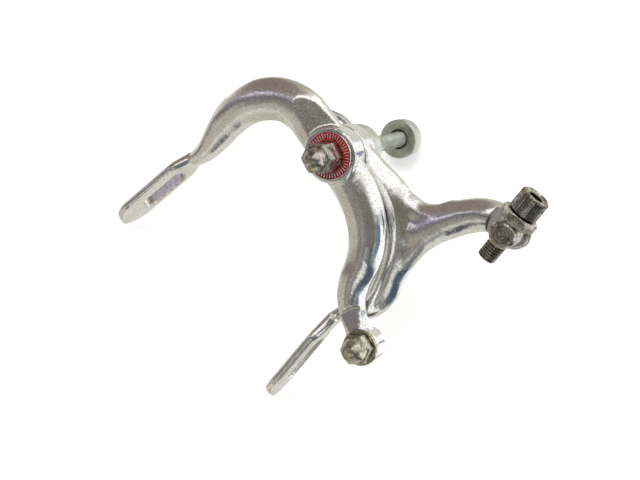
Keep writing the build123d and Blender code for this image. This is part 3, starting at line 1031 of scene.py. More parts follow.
@dataclass
class Forging:
    """A polished forging: limbs, boss, eye and plate fused, then machined."""

    body: str
    node: str
    limbs: list[Limb]
    plate: PadPlate
    boss_radius: float = 10.0
    bolt_radius: float = 3.05
    voxel_mm: float = 0.32
    rounds: int = 30
    crisp_below: float = -51.0
    keen: tuple[tuple[float, float, float], ...] = ()
    keen_share: float = 0.22
    fork: tuple[float, float, float] | None = None
    fork_rings: int = 8
    fork_rounds: int = 200
    lug_radius: float = 2.0
    facing_radius: float = 10.5
    file_radius: float = 24.0

    def fuse(self, pieces: Sequence[bpy.types.Object]) -> bpy.types.Object:
        """Fuses overlapping solids and blends the creases between them.

        Args:
            pieces: Closed meshes.

        Returns:
            One mesh.
        """
        body = Bench.join(pieces)
        Bench.modify(body, "REMESH", mode="VOXEL", voxel_size=self.voxel_mm * MM)
        soft = body.vertex_groups.new(name="soft")
        soft.add([v.index for v in body.data.vertices if v.co.z > self.crisp_below * MM], 1.0,
                 "REPLACE")
        for x, z, radius in self.keen:
            soft.add(self.near(body, x, z, radius), self.keen_share, "REPLACE")
        Bench.modify(body, "SMOOTH", factor=0.5, iterations=self.rounds, vertex_group="soft")
        if self.fork:
            x, z, radius = self.fork
            rounded = body.vertex_groups.new(name="fork")
            for ring in range(1, self.fork_rings + 1):
                rounded.add(self.near(body, x, z, radius * (1 - ring / 10)),
                            ring / self.fork_rings, "REPLACE")
            Bench.modify(body, "SMOOTH", factor=0.5, iterations=self.fork_rounds,
                         vertex_group="fork")
        return Bench.modify(body, "SMOOTH", factor=0.5, iterations=4)

    def near(self, body: bpy.types.Object, x: float, z: float, radius: float) -> list[int]:
        """Numbers of the points within a radius of a place in the arm's plane."""
        return [v.index for v in body.data.vertices
                if math.hypot(v.co.x - x * MM, v.co.z - z * MM) < radius * MM]

    def plane(self, limb: bpy.types.Object, seat: Seat) -> bpy.types.Object:
        """Files a flat on a limb, so that what stands past the seat's plane comes off."""
        stone = Stock.turned("file", [(0, self.file_radius), (12, self.file_radius)], 64, seat)
        return Bench.combine(limb, stone, "DIFFERENCE")

    def disc(self, front: float, back: float, radius: float, x: float = 0.0,
             z: float = 0.0) -> bpy.types.Object:
        """A round plate along Y between two depths in millimetres."""
        seat = Seat(Vector((x, front, z)) * MM)
        return Stock.turned("disc", [(0, radius), (back - front, radius)], 72, seat)

    def cut(self, body: bpy.types.Object, cutters: Iterable[bpy.types.Object]) -> bpy.types.Object:
        """Cuts a row of tools out of the forging.

        Args:
            body: The forging.
            cutters: The tools, used up.

        Returns:
            The forging.
        """
        for cutter in cutters:
            Bench.combine(body, cutter, "DIFFERENCE")
        return body


@dataclass
class FrontArm(Forging):
    """Bow and left pad plate, and the cable limb with its eye."""

    y: float = -22.05
    boss: tuple[float, float] = (-26.35, -17.75)
    eye: tuple[float, float] = (-25.95, -17.75)
    anchor: tuple[float, float] = (56.6, -38.4)
    eye_radius: float = 6.3
    lug: tuple[float, float, float] = (-38.2, -19.0, -8.5)
    keen: tuple[tuple[float, float, float], ...] = ((-17.0, 6.0, 12.0), (48.0, -35.0, 9.0))
    shoulder: tuple[float, float, float] = (-17.0, -25.75, 2.8)
    shoulder_out: tuple[float, float, float] = (0.41, 0.0, 0.91)
    shoulder_lean: float = 13.0
    limb_along: tuple[float, float, float] = (0.95, 0.0, -0.31)
    limb_rise: float = 10.0
    limb_overlap: float = 7.9

    def file_flats(self, bow: bpy.types.Object, limb: bpy.types.Object) -> None:
        """Files the flat on the bow's shoulder and the one on the cable limb before its eye.

        Args:
            bow: The bow.
            limb: The cable limb.
        """
        out = Vector(self.shoulder_out).normalized()
        lean = math.radians(self.shoulder_lean)
        self.plane(bow, Seat(Vector(self.shoulder) * MM,
                             out * math.sin(lean) - BACK * math.cos(lean)))
        along = Vector(self.limb_along).normalized()
        rise = math.radians(self.limb_rise)
        run = along * math.cos(rise) - BACK * math.sin(rise)
        x, z = self.anchor
        start = Vector((x, self.eye[0] + 0.1, z)) - along * self.eye_radius
        self.plane(limb, Seat((start + run * (self.file_radius - self.limb_overlap)) * MM,
                              -BACK * math.cos(rise) - along * math.sin(rise)))

    def build(self, shop: Workshop) -> bpy.types.Object:
        """Makes the arm.

        Args:
            shop: The workshop that dresses the piece and hangs it on its body.

        Returns:
            The front arm.
        """
        x, z = self.anchor
        bow, limb = (limb.build("limb") for limb in self.limbs)
        self.file_flats(bow, limb)
        pieces = [bow, limb]
        pieces += [Bench.combine(self.plate.blank(), self.plate.window(), "DIFFERENCE"),
                   self.disc(*self.boss, self.boss_radius),
                   self.disc(*self.eye, self.eye_radius, x, z),
                   self.disc(self.y + 2.5, self.lug[2], self.lug_radius, *self.lug[:2])]
        arm = self.fuse(pieces)
        self.cut(arm, [
            self.disc(self.boss[0] - 3, self.boss[0], self.facing_radius),
            self.disc(self.boss[1], self.boss[1] + 3, self.facing_radius),
            self.disc(self.eye[0] - 3, self.eye[0], self.eye_radius + 0.5, x, z),
            self.disc(self.eye[1], self.eye[1] + 2, self.eye_radius, x, z),
            self.disc(self.boss[0] - 5, self.boss[1] + 5, self.bolt_radius),
            self.disc(self.eye[0] - 5, self.eye[1] + 5, self.bolt_radius, x, z),
        ])
        Bench.shade(arm, 32)
        return shop.hand_over(arm, "front_arm_forging", self.body, Slot.ALLOY, self.node)


@dataclass
class RearArm(Forging):
    """The web that forks into the adjuster's branch and the right pad's branch."""

    y: float = -12.85
    boss: tuple[float, float] = (-17.15, -8.55)
    eye: tuple[float, float] = (-15.15, -8.55)
    eye_at: tuple[float, float] = (61.4, 29.0)
    eye_radius: float = 7.0
    spotface: float = 9.5
    lug: tuple[float, float, float] = (40.8, -19.0, -2.0)
    fork: tuple[float, float, float] | None = (41.5, 3.0, 17.0)

    def build(self, shop: Workshop) -> bpy.types.Object:
        """Makes the arm.

        Args:
            shop: The workshop that dresses the piece and hangs it on its body.

        Returns:
            The rear arm.
        """
        x, z = self.eye_at
        pieces = [limb.build("limb") for limb in self.limbs]
        pieces += [Bench.combine(self.plate.blank(), self.plate.window(), "DIFFERENCE"),
                   self.disc(*self.boss, self.boss_radius),
                   self.disc(*self.eye, self.eye_radius, x, z),
                   self.disc(self.boss[1] - 2, self.lug[2], self.lug_radius, *self.lug[:2])]
        arm = self.fuse(pieces)
        self.cut(arm, [
            self.disc(self.boss[0] - 3, self.boss[0], self.facing_radius),
            self.disc(self.boss[1], self.boss[1] + 3, self.facing_radius),
            self.disc(self.eye[0] - 6, self.eye[0], self.spotface, x, z),
            self.disc(self.eye[1], self.eye[1] + 2, self.eye_radius + 0.5, x, z),
            self.disc(self.boss[0] - 5, self.boss[1] + 5, self.bolt_radius),
            self.disc(self.eye[0] - 5, self.eye[1] + 5, self.bolt_radius, x, z),
        ])
        Bench.shade(arm, 32)
        return shop.hand_over(arm, "rear_arm_forging", self.body, Slot.ALLOY, self.node)


def front_limbs(y: float, plate_y: float) -> list[Limb]:
    """Bow and cable limb of the front arm.

    Args:
        y: Depth of the arm's middle plane.
        plate_y: Depth of the plate's.

    Returns:
        The two limbs.
    """
    drop = plate_y - y
    bow = Limb([
        Section(-1.3, 0.4, 17.0, y, 8.1, 180), Section(-11.5, 1.35, 16.8, y, 8.3, 176),
        Section(-19.0, 1.65, 16.6, y, 8.8, 188), Section(-26.8, -1.15, 16.0, y, 9.0, 213),
        Section(-32.6, -7.1, 15.6, y, 9.0, 237),
        Section(-36.2, -15.3, 14.6, y + 0.15 * drop, 8.8, 256),
        Section(-37.15, -24.0, 13.4, y + 0.35 * drop, 8.4, 268),
        Section(-36.6, -32.5, 11.0, y + 0.6 * drop, 8.0, 274),
        Section(-36.4, -40.0, 8.1, y + 0.8 * drop, 7.6, 268, 9.0),
        Section(-37.5, -46.8, 4.8, plate_y, 7.8, 264, 18.0)])
    limb = Limb([
        Section(2.1, -0.6, 16.4, y, 7.9, -12), Section(14.4, -2.6, 16.0, y, 8.3, -20),
        Section(23.4, -6.2, 15.2, y, 8.6, -32), Section(30.2, -11.6, 14.2, y, 8.6, -47),
        Section(34.6, -18.2, 13.0, y, 8.6, -59), Section(37.3, -25.0, 12.0, y, 8.6, -62),
        Section(41.0, -30.6, 10.9, y, 8.6, -50), Section(45.6, -34.0, 9.9, y, 8.6, -31),
        Section(50.6, -36.3, 9.8, y, 8.4, -22), Section(55.6, -38.1, 11.0, y, 8.2, -16)])
    return [bow, limb]


def rear_limbs(y: float) -> list[Limb]:
    """Web and branch of the rear arm, in its own plane at depth y, and the fillets of its fork.

    Args:
        y: Depth of the arm's middle plane.

    Returns:
        Web, branch and two fillets.
    """
    web = Limb([
        Section(3.0, 0.8, 16.4, y, 8.1, 2), Section(14.0, 1.6, 15.2, y, 8.3, 0),
        Section(24.1, 1.4, 16.3, y, 8.5, -12), Section(32.6, -2.6, 15.6, y, 8.6, -34),
        Section(38.6, -8.0, 13.9, y, 8.6, -55), Section(42.4, -14.6, 11.9, y, 8.6, -66),
        Section(45.5, -22.4, 11.1, y, 8.4, -76), Section(46.5, -29.6, 10.0, y, 8.0, -101),
        Section(44.2, -36.2, 7.8, y, 7.6, -118), Section(40.9, -42.0, 5.6, y - 0.4, 7.2, -108),
        Section(40.9, -47.6, 4.8, y - 1.6, 7.8, -86)])
    branch = Limb([
        Section(37.4, -4.6, 11.4, y, 7.8, 66), Section(40.7, 4.0, 12.4, y, 8.4, 68),
        Section(43.8, 12.6, 12.9, y, 8.4, 66), Section(47.4, 19.8, 12.4, y, 8.6, 58),
        Section(52.4, 25.6, 12.0, y, 8.6, 40), Section(60.4, 28.8, 12.6, y + 0.6, 7.2, 20)])
    crotch = Limb([
        Section(21.0, 3.0, 9.0, y, 6.0, 3), Section(29.7, 5.2, 9.4, y, 6.6, 2),
        Section(35.3, 6.5, 9.4, y, 7.0, 28), Section(40.1, 11.0, 9.4, y, 7.0, 55),
        Section(43.1, 16.9, 9.0, y, 6.6, 62), Section(47.4, 21.1, 8.0, y, 6.0, 50)])
    heel = Limb([
        Section(47.2, 12.6, 4.6, y, 6.6, -116), Section(44.4, 5.4, 6.6, y, 7.8, -108),
        Section(42.9, -1.2, 7.2, y, 8.2, -92), Section(43.5, -8.1, 6.6, y, 7.9, -76),
        Section(44.9, -14.6, 5.2, y, 6.8, -70)])
    return [web, branch, crotch, heel]


# ---------------------------------------------------------------------------- fasteners
@dataclass(frozen=True)
class AcornNut:
    """A domed nut: hexagon, short neck and dome."""

    node: str
    body: str
    flats: float
    hex_height: float
    dome: float
    roll: float
    tone: Tone = Tone.USUAL

    def build(self, shop: Workshop) -> bpy.types.Object:
        """Makes the nut, its dome forward.

        Args:
            shop: The workshop that dresses the piece and hangs it on its body.

        Returns:
            The nut.
        """
        height, _ = sizes_of(self.node)
        radius = self.dome / 2
        start = self.hex_height - 0.5
        neck = self.hex_height + 0.5
        rise = height - neck
        profile = [(start, radius + 0.25), (neck - 0.25, radius + 0.1), (neck, radius)]
        for step in range(1, 17):
            angle = math.radians(89 * step / 16)
            profile.append((neck + rise * math.sin(angle), radius * math.cos(angle)))
        nut = Stock.hexagon("nut", self.flats, self.hex_height, -self.roll)
        nut = Bench.combine(nut, Stock.turned("dome", profile, 56), "UNION")
        nut = Stock.bored(nut, BOLT_BORE, -1, self.hex_height - 0.5)
        Bench.soften(nut, 0.16, CREASE, 3)
        Stock.put(nut, seat_on(self.node, -BACK))
        return shop.hand_over(nut, f"{self.node}_turned", self.body, Slot.DARK_STEEL, self.node,
                              tone=self.tone)


@dataclass(frozen=True)
class HexNut:
    """A plain hexagon nut on a seat of its own node."""

    node: str
    body: str
    flats: float
    roll: float
    slot: Slot = Slot.DARK_STEEL
    bore: float = BOLT_BORE

    def build(self, shop: Workshop) -> bpy.types.Object:
        """Makes the nut.

        Args:
            shop: The workshop that dresses the piece and hangs it on its body.

        Returns:
            The nut.
        """
        height, _ = sizes_of(self.node)
        nut = Stock.hexagon("nut", self.flats, height, -self.roll)
        nut = Stock.drilled(nut, self.bore, height)
        Bench.soften(nut, 0.12, CREASE, 2)
        Stock.put(nut, seat_on(self.node, -BACK))
        return shop.hand_over(nut, f"{self.node}_turned", self.body, self.slot, self.node)


@dataclass(frozen=True)
class Washer:
    """A turned washer, its profile taken from its node's box."""

    node: str
    body: str
    bore: float
    slot: Slot
    edge: float = 0.3
    dish: float = 0.0
    tone: Tone = Tone.USUAL

    def build(self, shop: Workshop) -> bpy.types.Object:
        """Makes the washer.

        Args:
            shop: The workshop that dresses the piece and hangs it on its body.

        Returns:
            The washer.
        """
        height, radius = sizes_of(self.node)
        e = self.edge
        profile = [(0, radius - e), (e, radius), (height - e, radius), (height, radius - e),
                   (height, radius - e - 0.6)]
        if self.dish:
            profile += [(height - self.dish, radius - e - 0.9)]
        washer = Stock.turned("washer", profile, 72)
        washer = Stock.drilled(washer, self.bore, height)
        Bench.soften(washer, min(0.12, e / 2), CREASE, 2)
        Stock.put(washer, seat_on(self.node, -BACK))
        return shop.hand_over(washer, f"{self.node}_turned", self.body, self.slot, self.node,
                              tone=self.tone)


@dataclass(frozen=True)
class RingWasher:
    """The front washer: a bright rim, enamel inside it, and plain radial ticks in the enamel."""

    node: str = "ring_washer"
    body: str = "stack"
    rim: float = 0.22
    inner: float = 5.35
    ticks: int = 44
    tick_width: float = 0.32
    tick_height: float = 0.12

    def build(self, shop: Workshop) -> None:
        """Makes washer, enamel and ticks.

        Args:
            shop: The workshop that dresses the piece and hangs it on its body.
        """
        height, radius = sizes_of(self.node)
        seat = seat_on(self.node, -BACK)
        face = radius - self.rim
        washer = Stock.turned("washer", [(0, radius - 0.1), (0.15, radius), (height - 0.12, radius),
                                         (height, radius - 0.12), (height, face),
                                         (height - 0.18, face - 0.05)], 96)
        washer = Stock.drilled(washer, BOLT_BORE, height)
        Bench.shade(washer, 30)
        Stock.put(washer, seat)
        shop.hand_over(washer, "ring_washer_turned", self.body, Slot.ALLOY, self.node)
        top = height - 0.06
        enamel = Stock.turned("enamel", [(height - 0.3, face - 0.02), (top - 0.05, face - 0.02),
                                         (top, face - 0.1)], 96)
        enamel = Stock.drilled(enamel, self.inner, height, 96)
        Bench.shade(enamel, 30)
        Stock.put(enamel, seat)
        shop.hand_over(enamel, "ring_enamel", self.body, Slot.ENAMEL)
        bars = []
        for number in range(self.ticks):
            inside = self.inner + (0.95 if number % 4 == 2 else 0.5)
            outside = face - (0.4 if number % 2 else 0.55)
            Bench.clear()
            bpy.ops.mesh.primitive_cube_add(size=1)
            bar = bpy.context.object
            bar.scale = ((outside - inside) * MM, self.tick_width * MM, self.tick_height * MM)
            bar.location = ((inside + outside) / 2 * MM, 0, (top + 0.01) * MM)
            bpy.ops.object.transform_apply(location=True, rotation=True, scale=True)
            bar.matrix_world = Matrix.Rotation(2 * math.pi * number / self.ticks, 4, "Z")
            bpy.ops.object.transform_apply(location=True, rotation=True, scale=True)
            bars.append(bar)
        ticks = Bench.join(bars)
        Bench.soften(ticks, 0.04, 60, 2)
        Stock.put(ticks, seat)
        shop.hand_over(ticks, "ring_ticks", self.body, Slot.ALLOY)


@dataclass(frozen=True)
class PivotBolt:
    """The pivot bolt: smooth shank, threads at both ends."""

    node: str = "pivot_bolt"
    body: str = "stack"
    radius: float = 3.0
    pitch: float = 1.0
    rear_thread: float = 30.0
    front_thread: float = 12.6
    neck: float = 2.65

    def build(self, shop: Workshop) -> bpy.types.Object:
        """Makes the bolt from front to back.

        Args:
            shop: The workshop that dresses the piece and hangs it on its body.

        Returns:
            The bolt.
        """
        length, _ = sizes_of(self.node)
        start = length - self.rear_thread
        rear = Stock.threaded("rear thread", self.radius - 0.03, self.pitch, start - 1, length, 0.7)
        step = self.front_thread
        front = Stock.turned("shank", [(0, 2.4), (0.6, self.radius), (step - 1.2, self.radius),
                                       (step - 0.8, self.neck), (step, self.neck),
                                       (step + 0.4, self.radius), (start - 1.0, self.radius),
                                       (start - 0.4, 2.7), (start, 2.7)], 56)
        bolt = Bench.join([front, rear])
        Bench.shade(bolt, 30)
        Stock.put(bolt, seat_on(self.node))
        return shop.hand_over(bolt, "pivot_bolt_turned", self.body, Slot.ZINC, self.node)


@dataclass(frozen=True)
class SpringBlock:
    """The round block behind the arms, bored across for the spring's wire."""

    node: str = "spring_block"
    body: str = "stack"
    wire_y: float = -4.4
    wire_z: float = 4.4
    wire_hole: float = 1.22

    def build(self, shop: Workshop) -> bpy.types.Object:
        """Makes the block.

        Args:
            shop: The workshop that dresses the piece and hangs it on its body.

        Returns:
            The block.
        """
        height, radius = sizes_of(self.node)
        block = Stock.turned("block", [(0, radius - 0.5), (0.5, radius), (height - 0.5, radius),
                                       (height, radius - 0.5)], 96)
        block = Stock.drilled(block, BOLT_BORE, height)
        Stock.put(block, seat_on(self.node))
        across = Seat(Vector((0, self.wire_y, self.wire_z)) * MM, Vector((1.0, 0.0, 0.0)),
                      BACK.copy())
        block = Stock.bored(block, self.wire_hole, -radius - 1, radius + 1, across, 32)
        Bench.soften(block, 0.15, CREASE, 3)
        return shop.hand_over(block, "spring_block_turned", self.body, Slot.ZINC, self.node)


@dataclass(frozen=True)
class AnchorBolt:
    """The cable anchor's pinch bolt: hexagon head at the back, cross hole for the cable."""

    node: str = "anchor_bolt"
    body: str = "cable_anchor"
    flats: float = 8.0
    head: float = 3.0
    hole_y: float = -25.65
    radius: float = 3.0
    cable_hole: float = 1.0

    def build(self, shop: Workshop) -> bpy.types.Object:
        """Makes the bolt.

        Args:
            shop: The workshop that dresses the piece and hangs it on its body.

        Returns:
            The bolt.
        """
        low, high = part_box(self.node)
        length = (high.y - low.y) / MM
        bolt = Stock.turned("shank", [(0, self.radius - 0.5), (0.5, self.radius),
                                      (length - self.head + 0.5, self.radius)], 48)
        head = Stock.hexagon("head", self.flats, self.head)
        Bench.take(head)
        head.location.z = (length - self.head) * MM
        Bench.settle(head)
        bolt = Bench.combine(bolt, head, "UNION")
        Bench.soften(bolt, 0.12, CREASE, 2)
        Stock.put(bolt, seat_on(self.node))
        centre = (low + high) / 2
        eye_low, eye_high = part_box("swivel")
        way = (eye_low + eye_high) / 2 - centre
        across = Seat(Vector((centre.x, self.hole_y * MM, centre.z)),
                      Vector((way.x, 0, way.z)).normalized(), BACK.copy())
        bolt = Stock.bored(bolt, self.cable_hole, -5, 5, across, 28)
        return shop.hand_over(bolt, "anchor_bolt_turned", self.body, Slot.DARK_STEEL, self.node)


@dataclass(frozen=True)
class SpringClip:
    """The E-clip that keeps the swivel's pin in the arm's eye."""

    node: str = "swivel_clip"
    body: str = "swivel"
    radius: float = 4.5
    bore: float = 2.42
    mouth: float = 3.6

    def build(self, shop: Workshop) -> bpy.types.Object:
        """Makes the clip.

        Args:
            shop: The workshop that dresses the piece and hangs it on its body.

        Returns:
            The clip.
        """
        low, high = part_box(self.node)
        height = (high.y - low.y) / MM
        clip = Stock.turned("clip", [(0, self.radius - 0.1), (0.1, self.radius),
                                     (height - 0.1, self.radius), (height, self.radius - 0.1)], 64)
        clip = Stock.drilled(clip, self.bore, height)
        place = seat_on(self.node)
        open_below = (high.z - low.z) < (high.x - low.x)
        middle = Vector(((low.x + high.x) / 2, low.y, high.z - self.radius * MM))
        Stock.put(clip, Seat(middle, place.way))
        Bench.clear()
        bpy.ops.mesh.primitive_cube_add(size=1)
        gap = bpy.context.object
        gap.scale = (self.mouth * MM, (height + 2) * MM, self.radius * MM)
        drop = self.radius / 2 if open_below else -self.radius / 2
        gap.location = middle + Vector((0, height / 2, -drop)) * MM
        bpy.ops.object.transform_apply(location=True, rotation=True, scale=True)
        clip = Bench.combine(clip, gap, "DIFFERENCE")
        Bench.soften(clip, 0.08, CREASE, 2)
        return shop.hand_over(clip, "swivel_clip_cut", self.body, Slot.DARK_STEEL, self.node)


# ---------------------------------------------------------------------------- the adjuster
@dataclass(frozen=True)
class CableAdjuster:
    """Swivel, locknut and hollow screw with its ribbed knob, on the screw's leaning axis."""

    lean: float = 7.3
    axis_y: float = -22.336
    eye: tuple[float, float] = (61.4, 29.0)
    block_radius: float = 5.0
    nut_flats: float = 12.1
    nut_height: float = 3.9
    nut_turn: float = 37.0
    knob_radius: float = 5.4
    knob_height: float = 8.0
    ribs: int = 30
    screw_radius: float = 3.5
    pitch: float = 1.0
    below: float = 11.3
    pin_radius: float = 3.0
    pin_length: float = 8.85
    clip_groove: float = 1.45
    tail_radius: float = 2.4
    clearance: float = 0.04
    gap: float = 0.1
    flute: float = 0.46
    cable_bore: float = 1.1
    socket_radius: float = 2.6
    socket_floor: float = 5.2

    @property
    def seat(self) -> Seat:
        """The screw's axis, from the swivel's own axis upwards.

        Returns:
            The seat.
        """
        lean = math.radians(self.lean)
        way = Vector((-math.sin(lean), 0, math.cos(lean)))
        return Seat(Vector((self.eye[0], self.axis_y, self.eye[1])) * MM, way, BACK.copy())

    def swivel(self, shop: Workshop) -> bpy.types.Object:
        """The round block, with turning rings on its front face, and its pin.

        Args:
            shop: The workshop that dresses the piece and hangs it on its body.

        Returns:
            The swivel.
        """
        length, _ = sizes_of("swivel")
        shoulder = length - self.pin_length
        groove = length - self.clip_groove
        r = self.block_radius
        profile = [(0.4, 0.3), (0.4, 0.55), (0.0, 0.85), (0.0, 1.5), (0.16, 1.6), (0.16, 1.8),
                   (0.0, 1.9), (0.0, 2.5), (0.16, 2.6), (0.16, 2.8), (0.0, 2.9), (0.0, 3.3)]
        for step in range(1, 6):
            angle = math.radians(90 * step / 5)
            profile.append((1.6 - 1.6 * math.cos(angle), r - 1.7 + 1.7 * math.sin(angle)))
        profile += [(shoulder - 0.3, r), (shoulder, r - 0.3), (shoulder, self.pin_radius),
                    (groove, self.pin_radius), (groove, self.tail_radius),
                    (length - 0.4, self.tail_radius), (length, self.tail_radius - 0.3)]
        block = Stock.turned("swivel", profile, 64, seat_on("swivel"))
        block = Stock.bored(block, self.screw_radius + self.clearance, -8, 8, self.seat)
        Bench.shade(block, 25)
        return shop.hand_over(block, "swivel_turned", "swivel", Slot.DARK_STEEL, "swivel")

    def locknut(self, shop: Workshop) -> bpy.types.Object:
        """The nut between block and knob.

        Args:
            shop: The workshop that dresses the piece and hangs it on its body.

        Returns:
            The locknut.
        """
        nut = Stock.hexagon("locknut", self.nut_flats, self.nut_height, self.nut_turn)
        nut = Stock.drilled(nut, self.screw_radius + self.clearance, self.nut_height)
        Bench.soften(nut, 0.14, CREASE, 2)
        Stock.put(nut, self.seat.along(self.block_radius + self.gap))
        return shop.hand_over(nut, "adjuster_locknut_turned", "locknut", Slot.DARK_STEEL,
                              "adjuster_locknut")

    def knob(self) -> bpy.types.Object:
        """The ribbed knob: a fluted bar between two plain bevels, dished for the housing.

        Returns:
            The knob.
        """
        r, h = self.knob_radius, self.knob_height
        count = self.ribs * 4
        Bench.clear()
        bpy.ops.mesh.primitive_circle_add(vertices=count, radius=r * MM, fill_type="NGON",
                                          location=(0, 0, 0.5 * MM))
        bar = bpy.context.object
        bpy.ops.object.transform_apply(location=True, rotation=True, scale=True)
        for vertex in bar.data.vertices:
            if vertex.index % 4 in (2, 3):
                vertex.co.x *= 1 - self.flute / r
                vertex.co.y *= 1 - self.flute / r
        bpy.ops.object.mode_set(mode="EDIT")
        bpy.ops.mesh.select_all(action="SELECT")
        bpy.ops.mesh.extrude_region_move(TRANSFORM_OT_translate={"value": (0, 0, (h - 1.0) * MM)})
        bpy.ops.object.mode_set(mode="OBJECT")
        Bench.settle(bar)
        core = Stock.turned("core", [(0, r - 0.8), (0.4, r - 0.4), (h - 0.4, r - 0.4),
                                     (h, r - 0.8)], 72)
        bar = Bench.combine(bar, core, "UNION")
        limit = Stock.turned("limit", [(0, r - 0.8), (0.8, r + 0.02), (h - 0.75, r + 0.02),
                                       (h, r - 0.7)], 72)
        return Bench.combine(bar, limit, "INTERSECT")

    def screw(self, shop: Workshop) -> bpy.types.Object:
        """Knob and threaded shank in one.

        Args:
            shop: The workshop that dresses the piece and hangs it on its body.

        Returns:
            The screw.
        """
        base = self.block_radius + self.gap + self.nut_height + self.gap
        top = base + self.knob_height
        knob = self.knob()
        Bench.take(knob)
        knob.location.z = base * MM
        Bench.settle(knob)
        dish = Stock.turned("dish", [(top - self.socket_floor, self.socket_radius),
                                     (top - 0.75, self.socket_radius), (top - 0.7, 3.4),
                                     (top - 0.35, 3.95), (top + 0.3, 4.3)], 56)
        knob = Bench.combine(knob, dish, "DIFFERENCE")
        knob = Stock.bored(knob, self.cable_bore, base - 1, top, sides=24)
        rod = Stock.threaded("screw", self.screw_radius - 0.02, self.pitch, -self.below, base + 1)
        rod = Stock.bored(rod, self.cable_bore, -self.below - 1, base + 2, sides=24)
        screw = Bench.join([knob, rod])
        Bench.shade(screw, 30)
        Stock.put(screw, self.seat)
        return shop.hand_over(screw, "adjuster_screw_turned", "adjuster", Slot.DARK_STEEL,
                              "adjuster_screw")

    def build(self, shop: Workshop) -> None:
        """Makes the three turned pieces.

        Args:
            shop: The workshop that dresses the piece and hangs it on its body.
        """
        self.swivel(shop)
        self.locknut(shop)
        self.screw(shop)


# ---------------------------------------------------------------------------- the spring
@dataclass(frozen=True)
class ReturnSpring:
    """The bow spring in two halves, each bending between the block and its arm."""

    wire: float = 1.2
    y: float = -4.4
    z: float = 4.4
    elbow_z: float = -12.2
    drop: float = -23.0
    splay: float = 3.2
    bend_radius: float = 5.0
    stride: float = 1.5

    def half(self, shop: Workshop, side: int, reach: float, end_y: float, arm: str) -> None:
        """One leg, from the middle of the block to its end.

        Args:
            shop: The workshop.
            side: -1 for the left leg, 1 for the right.
            reach: Sideways distance of the leg's end.
            end_y: Depth of the leg's end.
            arm: Not used.
        """
        middle_y = (self.y + end_y) / 2
        points = [(0, self.y, self.z), (side * 11.0, self.y, self.z),
                  (side * (reach - self.splay - 8.5), middle_y, self.z - 5.2),
                  (side * (reach - self.splay), end_y, self.elbow_z),
                  (side * reach, end_y, self.drop)]
        path = self.rounded([Vector(p) for p in points])
        Bench.clear()
        bpy.ops.curve.primitive_nurbs_path_add()
        curve = bpy.context.object
        curve.data.splines.clear()
        spline = curve.data.splines.new("POLY")
        spline.points.add(len(path) - 1)
        for point, place in zip(spline.points, path):
            point.co = (*(place * MM), 1.0)
        curve.data.bevel_depth = self.wire * MM
        curve.data.bevel_resolution = 5
        curve.data.use_fill_caps = True
        bpy.ops.object.convert(target="MESH")
        leg = Bench.settle(bpy.context.object)
        Bench.shade(leg, 40)
        name = f"return_spring_{'left' if side < 0 else 'right'}"
        leg.name = name
        shop.finishes.dress(leg, Slot.WIRE)
        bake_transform(leg)
        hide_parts("return_spring")
        LOG.info("%s: %d faces", name, len(leg.data.polygons))

    def rounded(self, points: Sequence[Vector]) -> list[Vector]:
        """The bent line of the wire: straight runs joined by arcs.

        Args:
            points: Corners of the line.

        Returns:
            Points along the bent line, close together.
        """
        radius = self.bend_radius
        out = [points[0]]
        for before, corner, after in zip(points, points[1:], points[2:]):
            back = (before - corner).normalized()
            on = (after - corner).normalized()
            half = back.angle(on) / 2
            reach = radius / math.tan(half)
            centre = corner + (back + on).normalized() * radius / math.sin(half)
            start, end = corner + back * reach - centre, corner + on * reach - centre
            turn = start.angle(end)
            run = (corner + back * reach) - out[-1]
            count = max(2, int(run.length / self.stride))
            for _ in range(1, count):
                out.append(out[-1] + run / count)
            for step in range(7):
                t = step / 6
                out.append(centre + (start * math.sin((1 - t) * turn) + end * math.sin(t * turn))
                           / math.sin(turn))
        run = points[-1] - out[-1]
        count = max(2, int(run.length / self.stride))
        out += [out[-1] + run * step / count for step in range(1, count + 1)]
        return out

    def build(self, shop: Workshop) -> None:
        """Makes both legs."""
        self.half(shop, -1, 36.0, self.y - 6.5, "front_arm")
        self.half(shop, 1, 38.6, self.y, "rear_arm")


# ---------------------------------------------------------------------------- the studio
@dataclass(frozen=True)
class Card:
    """A soft oval card on the tent's plan.

    The plan is in degrees from the middle of the tent, which is over the camera: across to the
    right and up. `long` and `wide` are the oval's half axes, `lean` turns the long one up from
    across, and `soft` is the share of them that the edge takes.
    """

    across: float
    up: float
    long: float
    wide: float
    lean: float
    soft: float
    colour: tuple[float, float, float]


